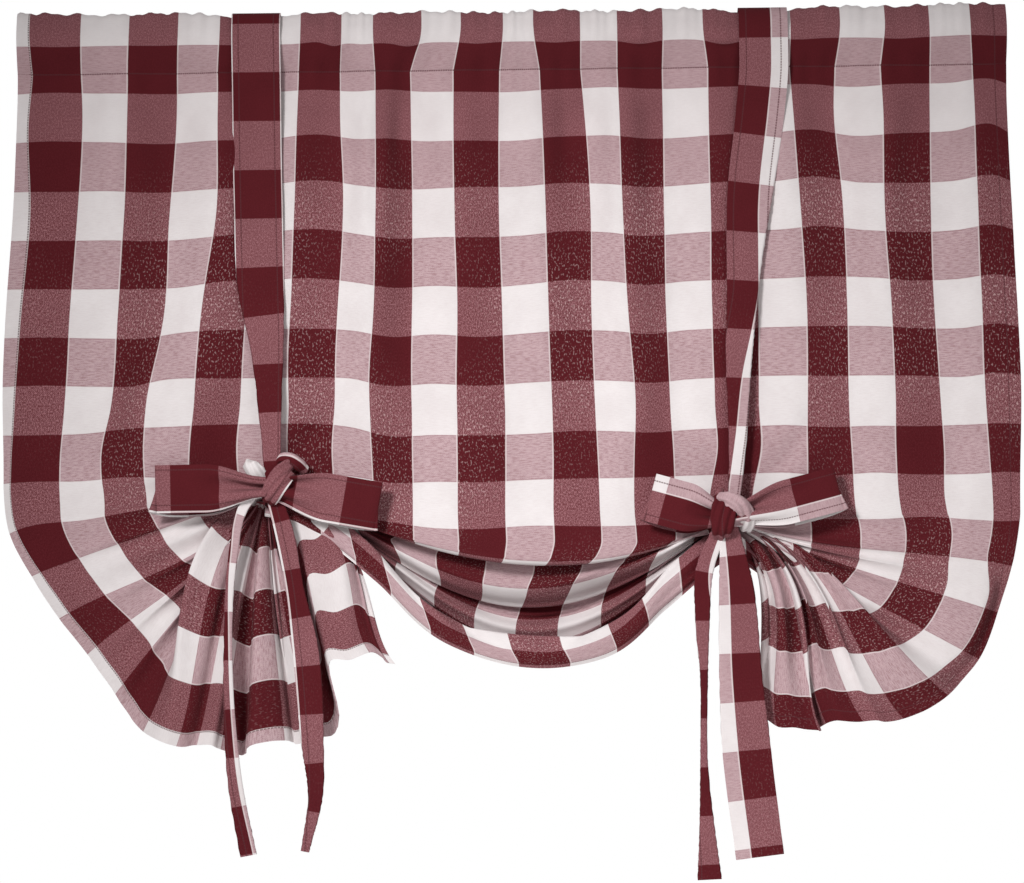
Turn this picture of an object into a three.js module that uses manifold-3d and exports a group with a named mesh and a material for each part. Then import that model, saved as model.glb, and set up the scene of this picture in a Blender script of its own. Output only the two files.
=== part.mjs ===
// A tie-up window shade: a checked cotton panel with a shirred rod pocket,
// gathered up by two sashes that are tied in bows.
// Millimetres, X to the right, Z up, the front faces -Y.
// The origin is the middle of the rod channel.

import * as THREE from 'three';
import { mergeVertices } from 'three/addons/utils/BufferGeometryUtils.js';
import Module from 'manifold-3d';

// Cloth
const CHECK = 57;
const PANEL_CHECKS_WIDE = 23.07;
const PANEL_CHECKS_LONG = 24;
const CLOTH_THICKNESS = 2;
const SASH_THICKNESS = 2.4;

// Heading
const TOP_HEIGHT = 37.5;
const SEAM_ROW = 1.3;
const TOP_EDGE = { left: -574, right: 584 };
const WAIST_EDGE = { left: -597, right: 598 };
const WAIST_ROWS = 7;
const HEADING_BUNCH = 17.6;
const FLUTE_HEIGHT = 8;
const FLUTE_FADE = 0.55;
const FLUTE_AT_SEAM = 0.4;
const FLUTES = [
  { period: 2, start: 0.77, share: 0.75 },
  { period: 3.1, start: -0.5, share: 0.4 },
];

// Rod pocket, a soft oval tube
const POCKET = { height: 73, depth: 27, centre: 0.35, pucker: 1.6, ripple: 1, sag: 3, sway: 1.5 };
const POCKET_SEAM_POWER = 4;
const STRAP_PRESS = { depth: 5, width: 45 };
const POCKET_CELLS = { along: 44, around: 12 };

// Ties: the knots gather the panel on two of its columns
const LEFT_KNOT = { x: -290, z: -521 };
const RIGHT_KNOT = { x: 250, z: -561 };
const LEFT_TIE = 5.7;
const RIGHT_TIE = 17;
const ROOT_DROP = { left: 34, right: 47 };
const PINCH_DEPTH = 0.25;
const GATHER_ROWS = 3;
const CHECK_IN_FAN = 53;
const FAN_OPENS_AT = 0.5;
const FLUTES_END = { above: 2, below: 1 };

// Fan outside the left tie, one row for each rib from the level row to the hem:
// its row of the cloth, its angle below the level at the knot and at the rim,
// its length and how far its rim stands behind the panel.
const LEFT_RIBS = [
  { row: 9.8, root: 0, rim: 0, reach: 306, depth: 0 },
  { row: 10.68, root: 10, rim: 9.8, reach: 303, depth: -3 },
  { row: 11.68, root: 24, rim: 20.4, reach: 291, depth: 0 },
  { row: 12.68, root: 58, rim: 31.8, reach: 285, depth: 3 },
  { row: 13.68, root: 62, rim: 42.5, reach: 284, depth: 3 },
  { row: 14.68, root: 62, rim: 53.4, reach: 297, depth: 4 },
  { row: 15.45, root: 64, rim: 61, reach: 313, depth: 7 },
  { row: 15.75, root: 36, rim: 63.5, reach: 317, depth: -5 },
  { row: 16, root: 12, rim: 66, reach: 318, depth: -16 },
  { row: 16.68, root: 40, rim: 71.7, reach: 318, depth: -18 },
  { row: 17.68, root: 62, rim: 77, reach: 309, depth: -5 },
  { row: 18.4, root: 74, rim: 82, reach: 307, depth: -14 },
  { row: 18.9, root: 76, rim: 84.5, reach: 314, depth: 5 },
  { row: 19.45, root: 86, rim: 90, reach: 296, depth: -19 },
  { row: 19.9, root: 92, rim: 94.5, reach: 298, depth: -5 },
  { row: 20.3, root: 94, rim: 97, reach: 303, depth: 2 },
  { row: 20.8, root: 98, rim: 101.5, reach: 300, depth: -7 },
  { row: 21.2, root: 101, rim: 106, reach: 297, depth: 7 },
  { row: 21.68, root: 106, rim: 110, reach: 226, depth: -9 },
  { row: 22.2, root: 126, rim: 116, reach: 226, depth: -12 },
  { row: 22.68, root: 150, rim: 119.5, reach: 230, depth: -2 },
  { row: 23.68, root: 184, rim: 124, reach: 251, depth: 6 },
  { row: 24, root: 192, rim: 125.5, reach: 258, depth: 8 },
];

// Fan outside the right tie, in the same columns
const RIGHT_RIBS = [
  { row: 10.5, root: 0, rim: 0, reach: 343, depth: 0 },
  { row: 11.68, root: 25, rim: 10.6, reach: 340, depth: -3 },
  { row: 12.68, root: 26, rim: 20.1, reach: 338, depth: 0 },
  { row: 13.68, root: 30, rim: 30.1, reach: 339, depth: 2 },
  { row: 14.2, root: 32, rim: 35, reach: 334, depth: 6 },
  { row: 14.68, root: 8, rim: 39.6, reach: 329, depth: -12 },
  { row: 15.68, root: 2, rim: 49.5, reach: 308, depth: -6 },
  { row: 16.68, root: 3, rim: 56.8, reach: 280, depth: -12 },
  { row: 17.6, root: 8, rim: 64, reach: 266, depth: -10 },
  { row: 18, root: 10, rim: 66.5, reach: 268, depth: 6 },
  { row: 18.6, root: 6, rim: 67.2, reach: 269, depth: -14 },
  { row: 19.2, root: 16, rim: 72.5, reach: 258, depth: -18 },
  { row: 19.68, root: 27, rim: 77.4, reach: 253, depth: -14 },
  { row: 20.05, root: 34, rim: 79.5, reach: 240, depth: -4 },
  { row: 20.6, root: 30, rim: 77, reach: 232, depth: 12 },
  { row: 22, root: 24, rim: 68, reach: 228, depth: 18 },
  { row: 24, root: 20, rim: 60, reach: 222, depth: 16 },
];

// Swag between the ties, one row for each fold or turn of its cross-section:
// its row of the cloth, its drop below the knots and its depth at the middle,
// how round it hangs and how far it slides sideways, as a share of the span.
const SWAG_FOLDS = [
  { row: 9.8, drop: 0, depth: 0, bend: 0.2, slide: 0 },
  { row: 10.68, drop: 36, depth: -6, bend: 0.25, slide: 0 },
  { row: 11.3, drop: 57, depth: -13, bend: 0.8, slide: 0 },
  { row: 11.68, drop: 68, depth: -13, bend: 1.3, slide: 0.01 },
  { row: 11.86, drop: 75, depth: -5, bend: 1.4, slide: 0.01 },
  { row: 12.15, drop: 62, depth: 8, bend: 1.4, slide: 0.005 },
  { row: 12.42, drop: 58, depth: 15, bend: 1.4, slide: 0 },
  { row: 12.68, drop: 75, depth: 20, bend: 1.4, slide: 0 },
  { row: 13.68, drop: 104, depth: 28, bend: 1.4, slide: -0.01 },
  { row: 14.55, drop: 126, depth: 30, bend: 1.4, slide: -0.02 },
  { row: 14.86, drop: 120, depth: 42, bend: 1.4, slide: -0.03 },
  { row: 15.25, drop: 131, depth: 46, bend: 1.4, slide: -0.035 },
  { row: 15.68, drop: 140, depth: 43, bend: 1.4, slide: -0.04 },
  { row: 16.5, drop: 156, depth: 34, bend: 1.4, slide: -0.045 },
  { row: 16.85, drop: 170, depth: 44, bend: 1.4, slide: -0.045 },
  { row: 17.2, drop: 150, depth: 56, bend: 1.4, slide: -0.045 },
  { row: 18.6, drop: 66, depth: 62, bend: 1.4, slide: -0.045 },
  { row: 18.9, drop: 66, depth: 74, bend: 1.4, slide: -0.045 },
  { row: 20.3, drop: 168, depth: 74, bend: 1.4, slide: -0.05 },
  { row: 20.8, drop: 186, depth: 56, bend: 1.4, slide: -0.05 },
  { row: 21.3, drop: 184, depth: 16, bend: 1.4, slide: -0.055 },
  { row: 21.6, drop: 166, depth: 0, bend: 1.4, slide: -0.06 },
  { row: 21.9, drop: 154, depth: -10, bend: 1.4, slide: -0.06 },
  { row: 22.68, drop: 174, depth: -18, bend: 1.4, slide: -0.055 },
  { row: 23.68, drop: 188, depth: -12, bend: 1.4, slide: -0.05 },
  { row: 24, drop: 192, depth: -8, bend: 1.4, slide: -0.05 },
];
const SWAG_SKEW = { power: 1.2, left: 1.2, change: -0.3 };
const SWAG_DEPTH_POWER = 0.6;
const SETTLED_ROWS = { from: 10.6, to: 11.6 };
const LEAN = { share: 0.06, power: 10, from: 11, to: 12.5 };

// Grid of the panel: cells outside the left tie, between the ties, outside
// the right tie and above the knots, and how close its lower lines may lie, in checks.
const PANEL_CELLS = { left: 9, middle: 18, right: 9, upper: 7 };
const ROW_GAP = { least: 0.15, most: 0.8 };

// Sashes. A strap runs from its knot up the front, round the rod pocket and down the back.
const STRAP_OVER = { rows: 8, depth: 21, height: 33.5 };
const STRAP_BACK = { rows: 5, endAboveKnot: 6, endWidth: 20, endY: 30 };
const STRAP_CELLS = { between: 2, across: 4 };
const LEFT_STRAP = [
  { x: -280, y: -24, z: -512, width: 17, crease: 6 },
  { x: -283, y: -16, z: -419, width: 28, crease: 6 },
  { x: -286, y: -12, z: -349, width: 40, crease: 4 },
  { x: -291, y: -9, z: -302, width: 52, crease: 2 },
  { x: -294, y: -8, z: -184, width: 57, crease: 1 },
  { x: -294, y: -18, z: -40, width: 57, crease: 0 },
];
const RIGHT_STRAP = [
  { x: 258, y: -24, z: -546, width: 13, crease: 6 },
  { x: 266, y: -17, z: -472, width: 18, crease: 7 },
  { x: 267, y: -13, z: -390, width: 29, crease: 6 },
  { x: 272, y: -10, z: -296, width: 41, crease: 4 },
  { x: 282, y: -9, z: -191, width: 53, crease: 2 },
  { x: 295, y: -13, z: -85, width: 57, crease: 1 },
  { x: 299, y: -18.5, z: -40, width: 58, crease: 0 },
];

// Bows: the lump of each knot, two flat loops and two hanging ends
const KNOT_Y = -26;
const KNOT_CELLS = { around: 12, high: 8 };
const LOOP_CELLS = { along: 16, across: 3 };
const LOOP_LAYERS = { front: -36, back: -20 };
const LOOP_ROUND = 1.6;
const LOOP_FLARE = { from: 0, to: 0.55 };
const TAIL_CELLS = { between: 3, across: 4 };
const LEFT_BOW = {
  knot: { x: -287, z: -521, width: 34, height: 46, depth: 30 },
  loops: [
    { x: -422, z: -524, root: 18, width: 56 },
    { x: -150, z: -545, root: 20, width: 60 },
  ],
  tails: [
    [
      { x: -292, y: -26, z: -528, width: 16, crease: 5 },
      { x: -320, y: -26, z: -589, width: 12, crease: 5 },
      { x: -335, y: -27, z: -700, width: 9, crease: 4 },
      { x: -334, y: -27, z: -794, width: 15, crease: 4 },
      { x: -328, y: -26, z: -864, width: 16, crease: 4 },
      { x: -313, y: -25, z: -951, width: 19, crease: 2 },
    ],
    [
      { x: -280, y: -26, z: -528, width: 17, crease: 4 },
      { x: -269, y: -27, z: -566, width: 21, crease: 4 },
      { x: -255, y: -27, z: -642, width: 21, crease: 4 },
      { x: -245, y: -27, z: -701, width: 29, crease: 3 },
      { x: -237, y: -27, z: -818, width: 26, crease: 3 },
      { x: -236, y: -26, z: -880, width: 19, crease: 4 },
      { x: -251, y: -25, z: -947, width: 8, crease: 2 },
    ],
  ],
};
const RIGHT_BOW = {
  knot: { x: 249, z: -563, width: 40, height: 42, depth: 32 },
  loops: [
    { x: 159, z: -538, root: 22, width: 64 },
    { x: 382, z: -530, root: 18, width: 52 },
  ],
  tails: [
    [
      { x: 243, y: -26, z: -572, width: 16, crease: 5 },
      { x: 225, y: -27, z: -624, width: 18, crease: 5 },
      { x: 222, y: -27, z: -683, width: 14, crease: 5 },
      { x: 221, y: -27, z: -753, width: 8, crease: 4 },
      { x: 220, y: -26, z: -847, width: 8, crease: 4 },
      { x: 223, y: -25, z: -935, width: 19, crease: 3 },
      { x: 225, y: -24, z: -989, width: 28, crease: 1 },
    ],
    [
      { x: 252, y: -26, z: -572, width: 20, crease: 6 },
      { x: 259, y: -29, z: -636, width: 38, crease: 6 },
      { x: 264, y: -29, z: -754, width: 50, crease: 4 },
      { x: 270, y: -27, z: -838, width: 58, crease: 3 },
      { x: 284, y: -26, z: -959, width: 56, crease: 2 },
    ],
  ],
};

const BURGUNDY = 0x6e3a42;
const CLOTH_ROUGHNESS = 0.9;

const { lerp, clamp, smoothstep, degToRad } = THREE.MathUtils;
const wasm = await Module();
wasm.setup();

// Value of every column of a table at a place along its key column,
// on a cubic through the rows with three-point slopes.
function tableAt(rows, key, place) {
  const last = rows.length - 2;
  let i = 0;
  while (i < last && rows[i + 1][key] <= place) i += 1;
  const gap = (k) => rows[k + 1][key] - rows[k][key];
  const t = clamp((place - rows[i][key]) / gap(i), 0, 1);
  const found = {};
  for (const name of Object.keys(rows[0])) {
    const rise = (k) => (rows[k + 1][name] - rows[k][name]) / gap(k);
    const slope = (k) => {
      if (k === 0) return rise(0);
      if (k === rows.length - 1) return rise(k - 1);
      return (rise(k - 1) * gap(k) + rise(k) * gap(k - 1)) / (gap(k - 1) + gap(k));
    };
    const step = rows[i + 1][name] - rows[i][name];
    const bow = (1 - t) * (slope(i) * gap(i) - step) - t * (slope(i + 1) * gap(i) - step);
    found[name] = lerp(rows[i][name], rows[i + 1][name], t) + t * (1 - t) * bow;
  }
  return found;
}

// The row of the cloth that lies level with the knots on a column
const rowAt = (z) => (TOP_HEIGHT - z) / CHECK;
const LEVEL_LEFT = rowAt(LEFT_KNOT.z);
const LEVEL_RIGHT = rowAt(RIGHT_KNOT.z);

// How far a row has been gathered, from 0 at the level row to 1 at the hem
const gathered = (row, level) => clamp((row - level) / (PANEL_CHECKS_LONG - level), 0, 1);

// Depth of the pinched cloth inside a knot
const pinchDepth = (row) => PINCH_DEPTH * tableAt(SWAG_FOLDS, 'row', row).depth;

// Fan point: ribs swing out of the knot and turn from their root angle to their rim angle.
// The outward share is 0 at the tie and 1 at the side edge.
function fanPoint(outward, row, fan) {
  const rib = tableAt(fan.ribs, 'row', row);
  const along = clamp(outward, 0, 1) ** ((fan.checks * CHECK_IN_FAN) / rib.reach);
  const angle = degToRad(lerp(rib.root, rib.rim, 1 - (1 - along) ** 2));
  const fill = smoothstep(along, 0, FAN_OPENS_AT);
  const drop = fan.rootDrop * gathered(row, fan.level) * (1 - along);
  return {
    x: fan.knot.x + fan.side * rib.reach * along * Math.cos(angle),
    y: lerp(pinchDepth(row), rib.depth, fill),
    z: fan.knot.z - rib.reach * along * Math.sin(angle) - drop,
  };
}

const LEFT_FAN = {
  ribs: LEFT_RIBS,
  knot: LEFT_KNOT,
  side: -1,
  checks: LEFT_TIE,
  rootDrop: ROOT_DROP.left,
  level: LEVEL_LEFT,
};
const RIGHT_FAN = {
  ribs: RIGHT_RIBS,
  knot: RIGHT_KNOT,
  side: 1,
  checks: PANEL_CHECKS_WIDE - RIGHT_TIE,
  rootDrop: ROOT_DROP.right,
  level: LEVEL_RIGHT,
};

// Swag point: every row hangs from knot to knot as a rounded garland.
function swagPoint(across, row) {
  const level = lerp(LEVEL_LEFT, LEVEL_RIGHT, across);
  const settled = smoothstep(row, SETTLED_ROWS.from, SETTLED_ROWS.to);
  const folded = Math.max(lerp(LEVEL_LEFT + row - level, row, settled), LEVEL_LEFT);
  const fold = tableAt(SWAG_FOLDS, 'row', folded);
  const upright = 1 - smoothstep(row, LEAN.from, LEAN.to);
  const lean = LEAN.share * across * (1 - across ** LEAN.power) * upright;
  const share = clamp(across + fold.slide * 4 * across * (1 - across) + lean, 0, 1);
  const skewed = share ** SWAG_SKEW.power;
  const arch = 4 * skewed * (1 - skewed);
  const hang = arch ** (fold.bend * (SWAG_SKEW.left + SWAG_SKEW.change * share));
  const down = gathered(row, level);
  const leftRoot = LEFT_KNOT.z - ROOT_DROP.left * down;
  const rightRoot = RIGHT_KNOT.z - ROOT_DROP.right * down;
  const sunk = ((ROOT_DROP.left + ROOT_DROP.right) / 2) * down;
  return {
    x: lerp(LEFT_KNOT.x, RIGHT_KNOT.x, share),
    y: fold.depth * lerp(PINCH_DEPTH, 1, arch ** SWAG_DEPTH_POWER),
    z: lerp(leftRoot, rightRoot, share) - (fold.drop - sunk) * hang,
  };
}

// Soft upright flutes that the gathers of the heading send down the cloth
function fluteDepth(column, row) {
  const grown = lerp(FLUTE_AT_SEAM, 1, smoothstep(row, SEAM_ROW, SEAM_ROW + 1));
  const height = FLUTE_HEIGHT * grown * (1 - FLUTE_FADE * smoothstep(row, SEAM_ROW, SEAM_ROW + WAIST_ROWS));
  const waves = FLUTES.map((f) => f.share * Math.sin((2 * Math.PI * (column - f.start)) / f.period));
  return height * waves.reduce((sum, wave) => sum + wave, 0);
}

// Where a column of the cloth hangs on a row of the plain upper panel
function columnX(column, row) {
  const t = column / PANEL_CHECKS_WIDE;
  const top = lerp(TOP_EDGE.left, TOP_EDGE.right, t) + HEADING_BUNCH * Math.sin(2 * Math.PI * t);
  const waist = lerp(WAIST_EDGE.left, WAIST_EDGE.right, t);
  return lerp(top, waist, smoothstep(row, SEAM_ROW, SEAM_ROW + WAIST_ROWS));
}

// Point of the panel at a column and a row of its checks
function panelPoint(column, row) {
  const across = clamp((column - LEFT_TIE) / (RIGHT_TIE - LEFT_TIE), 0, 1);
  const level = lerp(LEVEL_LEFT, LEVEL_RIGHT, across);
  const low = Math.max(row, level);
  let point = swagPoint(across, low);
  if (column < LEFT_TIE) point = fanPoint(1 - column / LEFT_TIE, low, LEFT_FAN);
  if (column > RIGHT_TIE) point = fanPoint((column - RIGHT_TIE) / RIGHT_FAN.checks, low, RIGHT_FAN);
  const drawn = smoothstep(row, level - GATHER_ROWS, level);
  const upper = 1 - smoothstep(row, level - FLUTES_END.above, level + FLUTES_END.below);
  return new THREE.Vector3(
    lerp(columnX(column, row), point.x, drawn),
    point.y * drawn + fluteDepth(column, row) * upper,
    row < level ? TOP_HEIGHT - CHECK * row : point.z,
  );
}

// Closed geometry from a list of points and triangles
function solidGeometry(points, triangles) {
  const geometry = new THREE.BufferGeometry();
  const positions = points.flatMap((p) => [p.x, p.y, p.z]);
  geometry.setAttribute('position', new THREE.Float32BufferAttribute(positions, 3));
  geometry.setIndex(triangles);
  return geometry;
}

// Mean normal at every point of a grid of points, grid[i][j]
function gridNormals(grid) {
  const at = (i, j) => grid[clamp(i, 0, grid.length - 1)][clamp(j, 0, grid[0].length - 1)];
  return grid.map((line, i) => line.map((_, j) => {
    const along = at(i + 1, j).clone().sub(at(i - 1, j));
    const across = at(i, j + 1).clone().sub(at(i, j - 1));
    return across.cross(along).normalize();
  }));
}

// Sheet of even thickness around a grid of points
function sheet(grid, thickness) {
  const normals = gridNormals(grid);
  const rows = grid.length;
  const wide = grid[0].length;
  const count = rows * wide;
  const face = (side) => grid.flatMap((line, i) => line.map((p, j) => (
    p.clone().addScaledVector(normals[i][j], (side * thickness) / 2))));
  const points = [...face(1), ...face(-1)];
  const id = (i, j, back) => i * wide + j + (back ? count : 0);
  const triangles = [];
  const quad = (a, b, c, d) => triangles.push(a, b, c, a, c, d);
  for (let i = 0; i < rows - 1; i += 1) {
    for (let j = 0; j < wide - 1; j += 1) {
      quad(id(i, j), id(i, j + 1), id(i + 1, j + 1), id(i + 1, j));
      quad(id(i, j, true), id(i + 1, j, true), id(i + 1, j + 1, true), id(i, j + 1, true));
    }
  }
  for (let i = 0; i < rows - 1; i += 1) {
    quad(id(i, 0), id(i + 1, 0), id(i + 1, 0, true), id(i, 0, true));
    quad(id(i + 1, wide - 1), id(i, wide - 1), id(i, wide - 1, true), id(i + 1, wide - 1, true));
  }
  for (let j = 0; j < wide - 1; j += 1) {
    quad(id(0, j + 1), id(0, j), id(0, j, true), id(0, j + 1, true));
    quad(id(rows - 1, j), id(rows - 1, j + 1), id(rows - 1, j + 1, true), id(rows - 1, j, true));
  }
  return solidGeometry(points, triangles);
}

// Even steps from one value to another, both ends included
const steps = (from, to, cells) => Array.from({ length: cells + 1 }, (_, i) => lerp(from, to, i / cells));

// Rows of the cloth that the lines of the grid follow: the rows of the tables below the knots
function panelRows() {
  const named = [...SWAG_FOLDS, ...LEFT_RIBS, ...RIGHT_RIBS].map((entry) => entry.row);
  const rows = steps(SEAM_ROW, LEVEL_LEFT, PANEL_CELLS.upper);
  for (const row of named.sort((a, b) => a - b)) {
    const gap = row - rows.at(-1);
    if (gap > ROW_GAP.most) rows.push(row - gap / 2);
    if (gap > ROW_GAP.least) rows.push(row);
  }
  return rows;
}

function panelGeometry() {
  const columns = [
    ...steps(0, LEFT_TIE, PANEL_CELLS.left),
    ...steps(LEFT_TIE, RIGHT_TIE, PANEL_CELLS.middle).slice(1),
    ...steps(RIGHT_TIE, PANEL_CHECKS_WIDE, PANEL_CELLS.right).slice(1),
  ];
  const grid = panelRows().map((row) => columns.map((column) => panelPoint(column, row)));
  return sheet(grid, CLOTH_THICKNESS);
}

// How far the top of the pocket lies below its ends at a column
function pocketDip(column) {
  const x = columnX(column, 0);
  const drift = Math.sin((2 * Math.PI * (column - FLUTES[1].start)) / FLUTES[1].period);
  const sag = POCKET.sag * Math.sin((Math.PI * column) / PANEL_CHECKS_WIDE);
  const pressed = [LEFT_STRAP, RIGHT_STRAP].map((strap) => {
    const away = (x - strap[strap.length - 1].x) / STRAP_PRESS.width;
    return STRAP_PRESS.depth * Math.exp(-away * away);
  });
  return POCKET.ripple * (1 - drift) + sag + pressed[0] + pressed[1];
}

// Tube of the rod pocket: rings of an outer and an inner oval, puckered by the gathers
function pocketGeometry() {
  const { along, around } = POCKET_CELLS;
  const ring = (column, inset) => steps(2 * Math.PI, 0, around).slice(1).map((angle) => {
    const gather = Math.sin((2 * Math.PI * (column - FLUTES[0].start)) / FLUTES[0].period);
    const upper = Math.max(Math.cos(angle), 0);
    const seam = ((1 - Math.cos(angle)) / 2) ** POCKET_SEAM_POWER;
    const bulge = Math.sin(angle) * (POCKET.depth / 2 - inset + POCKET.pucker * gather);
    return new THREE.Vector3(
      columnX(column, 0),
      bulge + lerp(POCKET.sway * gather, fluteDepth(column, SEAM_ROW), seam),
      POCKET.centre + Math.cos(angle) * (POCKET.height / 2 - inset) - upper * pocketDip(column),
    );
  });
  const columns = steps(0, PANEL_CHECKS_WIDE, along);
  const outer = columns.flatMap((column) => ring(column, 0));
  const inner = columns.flatMap((column) => ring(column, CLOTH_THICKNESS));
  const triangles = [];
  const quad = (a, b, c, d) => triangles.push(a, b, c, a, c, d);
  const id = (i, k) => i * around + (k % around);
  const inside = outer.length;
  for (let k = 0; k < around; k += 1) {
    for (let i = 0; i < along; i += 1) {
      quad(id(i, k), id(i, k + 1), id(i + 1, k + 1), id(i + 1, k));
      quad(inside + id(i, k), inside + id(i + 1, k), inside + id(i + 1, k + 1), inside + id(i, k + 1));
    }
    quad(id(0, k + 1), id(0, k), inside + id(0, k), inside + id(0, k + 1));
    quad(id(along, k), id(along, k + 1), inside + id(along, k + 1), inside + id(along, k));
  }
  return solidGeometry([...outer, ...inner], triangles);
}

// Ribbon along a table of places, creased along its middle line
function ribbonGeometry(places, cells) {
  const path = [];
  places.forEach((place, i) => {
    const before = places[i - 1] ?? place;
    const step = Math.hypot(place.x - before.x, place.y - before.y, place.z - before.z);
    path.push({ run: (path[i - 1]?.run ?? 0) + step, ...place });
  });
  const stations = path.slice(1).flatMap((p, i) => steps(path[i].run, p.run, cells.between).slice(1));
  const grid = [0, ...stations].map((run) => {
    const p = tableAt(path, 'run', run);
    return steps(-1, 1, cells.across).map((a) => new THREE.Vector3(
      p.x + (a * p.width) / 2,
      p.y - p.crease * (1 - Math.abs(a)),
      p.z,
    ));
  });
  return sheet(grid, SASH_THICKNESS);
}

// Places of a strap: up the front, round the rod pocket, down the back to its knot
function strapPlaces(front, knot) {
  const top = front[front.length - 1];
  const over = steps(0, Math.PI, STRAP_OVER.rows).map((turn) => ({
    ...top,
    y: -STRAP_OVER.depth * Math.cos(turn),
    z: POCKET.centre + STRAP_OVER.height * Math.sin(turn),
  }));
  const back = steps(0, 1, STRAP_BACK.rows).slice(1).map((t) => ({
    x: lerp(top.x, knot.x, t),
    y: lerp(STRAP_OVER.depth, STRAP_BACK.endY, t),
    z: lerp(POCKET.centre, knot.z + STRAP_BACK.endAboveKnot, t),
    width: lerp(top.width, STRAP_BACK.endWidth, t ** 3),
    crease: 0,
  }));
  return [...front, ...over, ...back];
}

// Flat loop of a bow: out along its front layer, round the tip and home along its back layer
function loopGeometry(loop, knot) {
  const out = new THREE.Vector2(loop.x - knot.x, loop.z - knot.z);
  const side = new THREE.Vector2(-out.y, out.x).normalize();
  if (side.y < 0) side.negate();
  const grid = steps(0, Math.PI, LOOP_CELLS.along).map((turn) => {
    const reach = Math.sin(turn) ** (1 / LOOP_ROUND);
    const half = lerp(loop.root, loop.width, smoothstep(reach, LOOP_FLARE.from, LOOP_FLARE.to)) / 2;
    const y = lerp(LOOP_LAYERS.back, LOOP_LAYERS.front, (1 + Math.cos(turn)) / 2);
    return steps(-1, 1, LOOP_CELLS.across).map((a) => new THREE.Vector3(
      knot.x + out.x * reach + side.x * half * a,
      y,
      knot.z + out.y * reach + side.y * half * a,
    ));
  });
  return sheet(grid, SASH_THICKNESS);
}

function knotGeometry(knot) {
  const lump = new THREE.SphereGeometry(0.5, KNOT_CELLS.around, KNOT_CELLS.high);
  lump.scale(knot.width, knot.depth, knot.height);
  lump.translate(knot.x, KNOT_Y, knot.z);
  return lump;
}

function toManifold(geometry) {
  const bare = geometry.clone();
  bare.deleteAttribute('normal');
  bare.deleteAttribute('uv');
  const merged = mergeVertices(bare);
  return new wasm.Manifold(new wasm.Mesh({
    numProp: 3,
    vertProperties: new Float32Array(merged.attributes.position.array),
    triVerts: new Uint32Array(merged.index.array),
  }));
}

function fromManifold(solid) {
  const mesh = solid.getMesh();
  const geometry = new THREE.BufferGeometry();
  geometry.setAttribute('position', new THREE.Float32BufferAttribute(mesh.vertProperties, 3));
  geometry.setIndex(Array.from(mesh.triVerts));
  return geometry;
}

// A sash is one strip: strap, knot, loops and hanging ends joined into one solid
function sashGeometry(strap, bow, knot) {
  const pieces = [
    knotGeometry(bow.knot),
    ribbonGeometry(strapPlaces(strap, knot), STRAP_CELLS),
    ...bow.loops.map((loop) => loopGeometry(loop, bow.knot)),
    ...bow.tails.map((tail) => ribbonGeometry(tail, TAIL_CELLS)),
  ];
  return fromManifold(pieces.map(toManifold).reduce((whole, piece) => whole.add(piece)));
}

const shade = new THREE.Group();

function addPiece(name, geometry) {
  const cloth = new THREE.MeshStandardMaterial({
    color: BURGUNDY,
    roughness: CLOTH_ROUGHNESS,
    metalness: 0,
  });
  const piece = new THREE.Mesh(geometry, cloth);
  piece.name = name;
  shade.add(piece);
}

addPiece('panel', panelGeometry());
addPiece('rod_pocket', pocketGeometry());
addPiece('sash_left', sashGeometry(LEFT_STRAP, LEFT_BOW, LEFT_KNOT));
addPiece('sash_right', sashGeometry(RIGHT_STRAP, RIGHT_BOW, RIGHT_KNOT));

export default shade;
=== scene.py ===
# %% [markdown]
# # A tie-up shade of checked cotton
# The shade is one long panel of woven buffalo check that hangs from a shirred rod pocket.
# Two sashes lie over the top edge and are tied in bows half way down, so the sides of the
# panel open like fans and the cloth between the bows hangs in a swag.
# The solids of the part come first. Every piece made below stands where one of them is.

# %% Load the part
import bpy
import numpy as np
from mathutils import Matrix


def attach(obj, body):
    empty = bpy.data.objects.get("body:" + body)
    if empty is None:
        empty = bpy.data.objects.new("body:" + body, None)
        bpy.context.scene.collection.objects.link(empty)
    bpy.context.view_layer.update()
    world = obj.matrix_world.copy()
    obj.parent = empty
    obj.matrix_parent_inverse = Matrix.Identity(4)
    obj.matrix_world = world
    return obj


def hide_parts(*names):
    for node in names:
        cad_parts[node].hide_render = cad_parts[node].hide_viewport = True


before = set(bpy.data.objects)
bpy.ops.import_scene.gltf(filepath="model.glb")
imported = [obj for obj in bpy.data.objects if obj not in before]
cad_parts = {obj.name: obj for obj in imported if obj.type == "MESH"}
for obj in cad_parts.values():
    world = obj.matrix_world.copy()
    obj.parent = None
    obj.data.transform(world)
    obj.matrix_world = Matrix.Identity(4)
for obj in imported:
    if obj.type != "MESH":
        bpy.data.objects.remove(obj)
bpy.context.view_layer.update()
MM = 0.001
print("solids:", sorted(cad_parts))

# %% [markdown]
# ## Camera
# The shade is seen straight from the front through a long lens, so its upright edges stay
# upright. A level camera would do for most objects. This one is rolled by a little more than
# half a degree, because the top edge of the real shade hangs higher on the right.

# %% Camera
VIEW = dict(away=5.0, height=-0.471, width=1.201, roll=np.radians(0.65))
SENSOR = 36.0
camera = bpy.data.objects.new("camera", bpy.data.cameras.new("camera"))
camera.data.sensor_width = SENSOR
camera.data.lens = SENSOR * VIEW["away"] / VIEW["width"]
camera.location = (0, -VIEW["away"], VIEW["height"])
camera.rotation_euler = (np.pi / 2, VIEW["roll"], 0)
bpy.context.collection.objects.link(camera)
bpy.context.scene.camera = camera
print("lens in mm:", round(camera.data.lens))

# %% [markdown]
# ## Numbers that run along a table
# A cloth shape is easiest to steer from a few rows that somebody can read: where a fold lies,
# how deep it is. A smooth curve through the rows gives every line in between. Blender's own
# curves could do this, but plain numpy keeps a whole grid of points in one expression.


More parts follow.
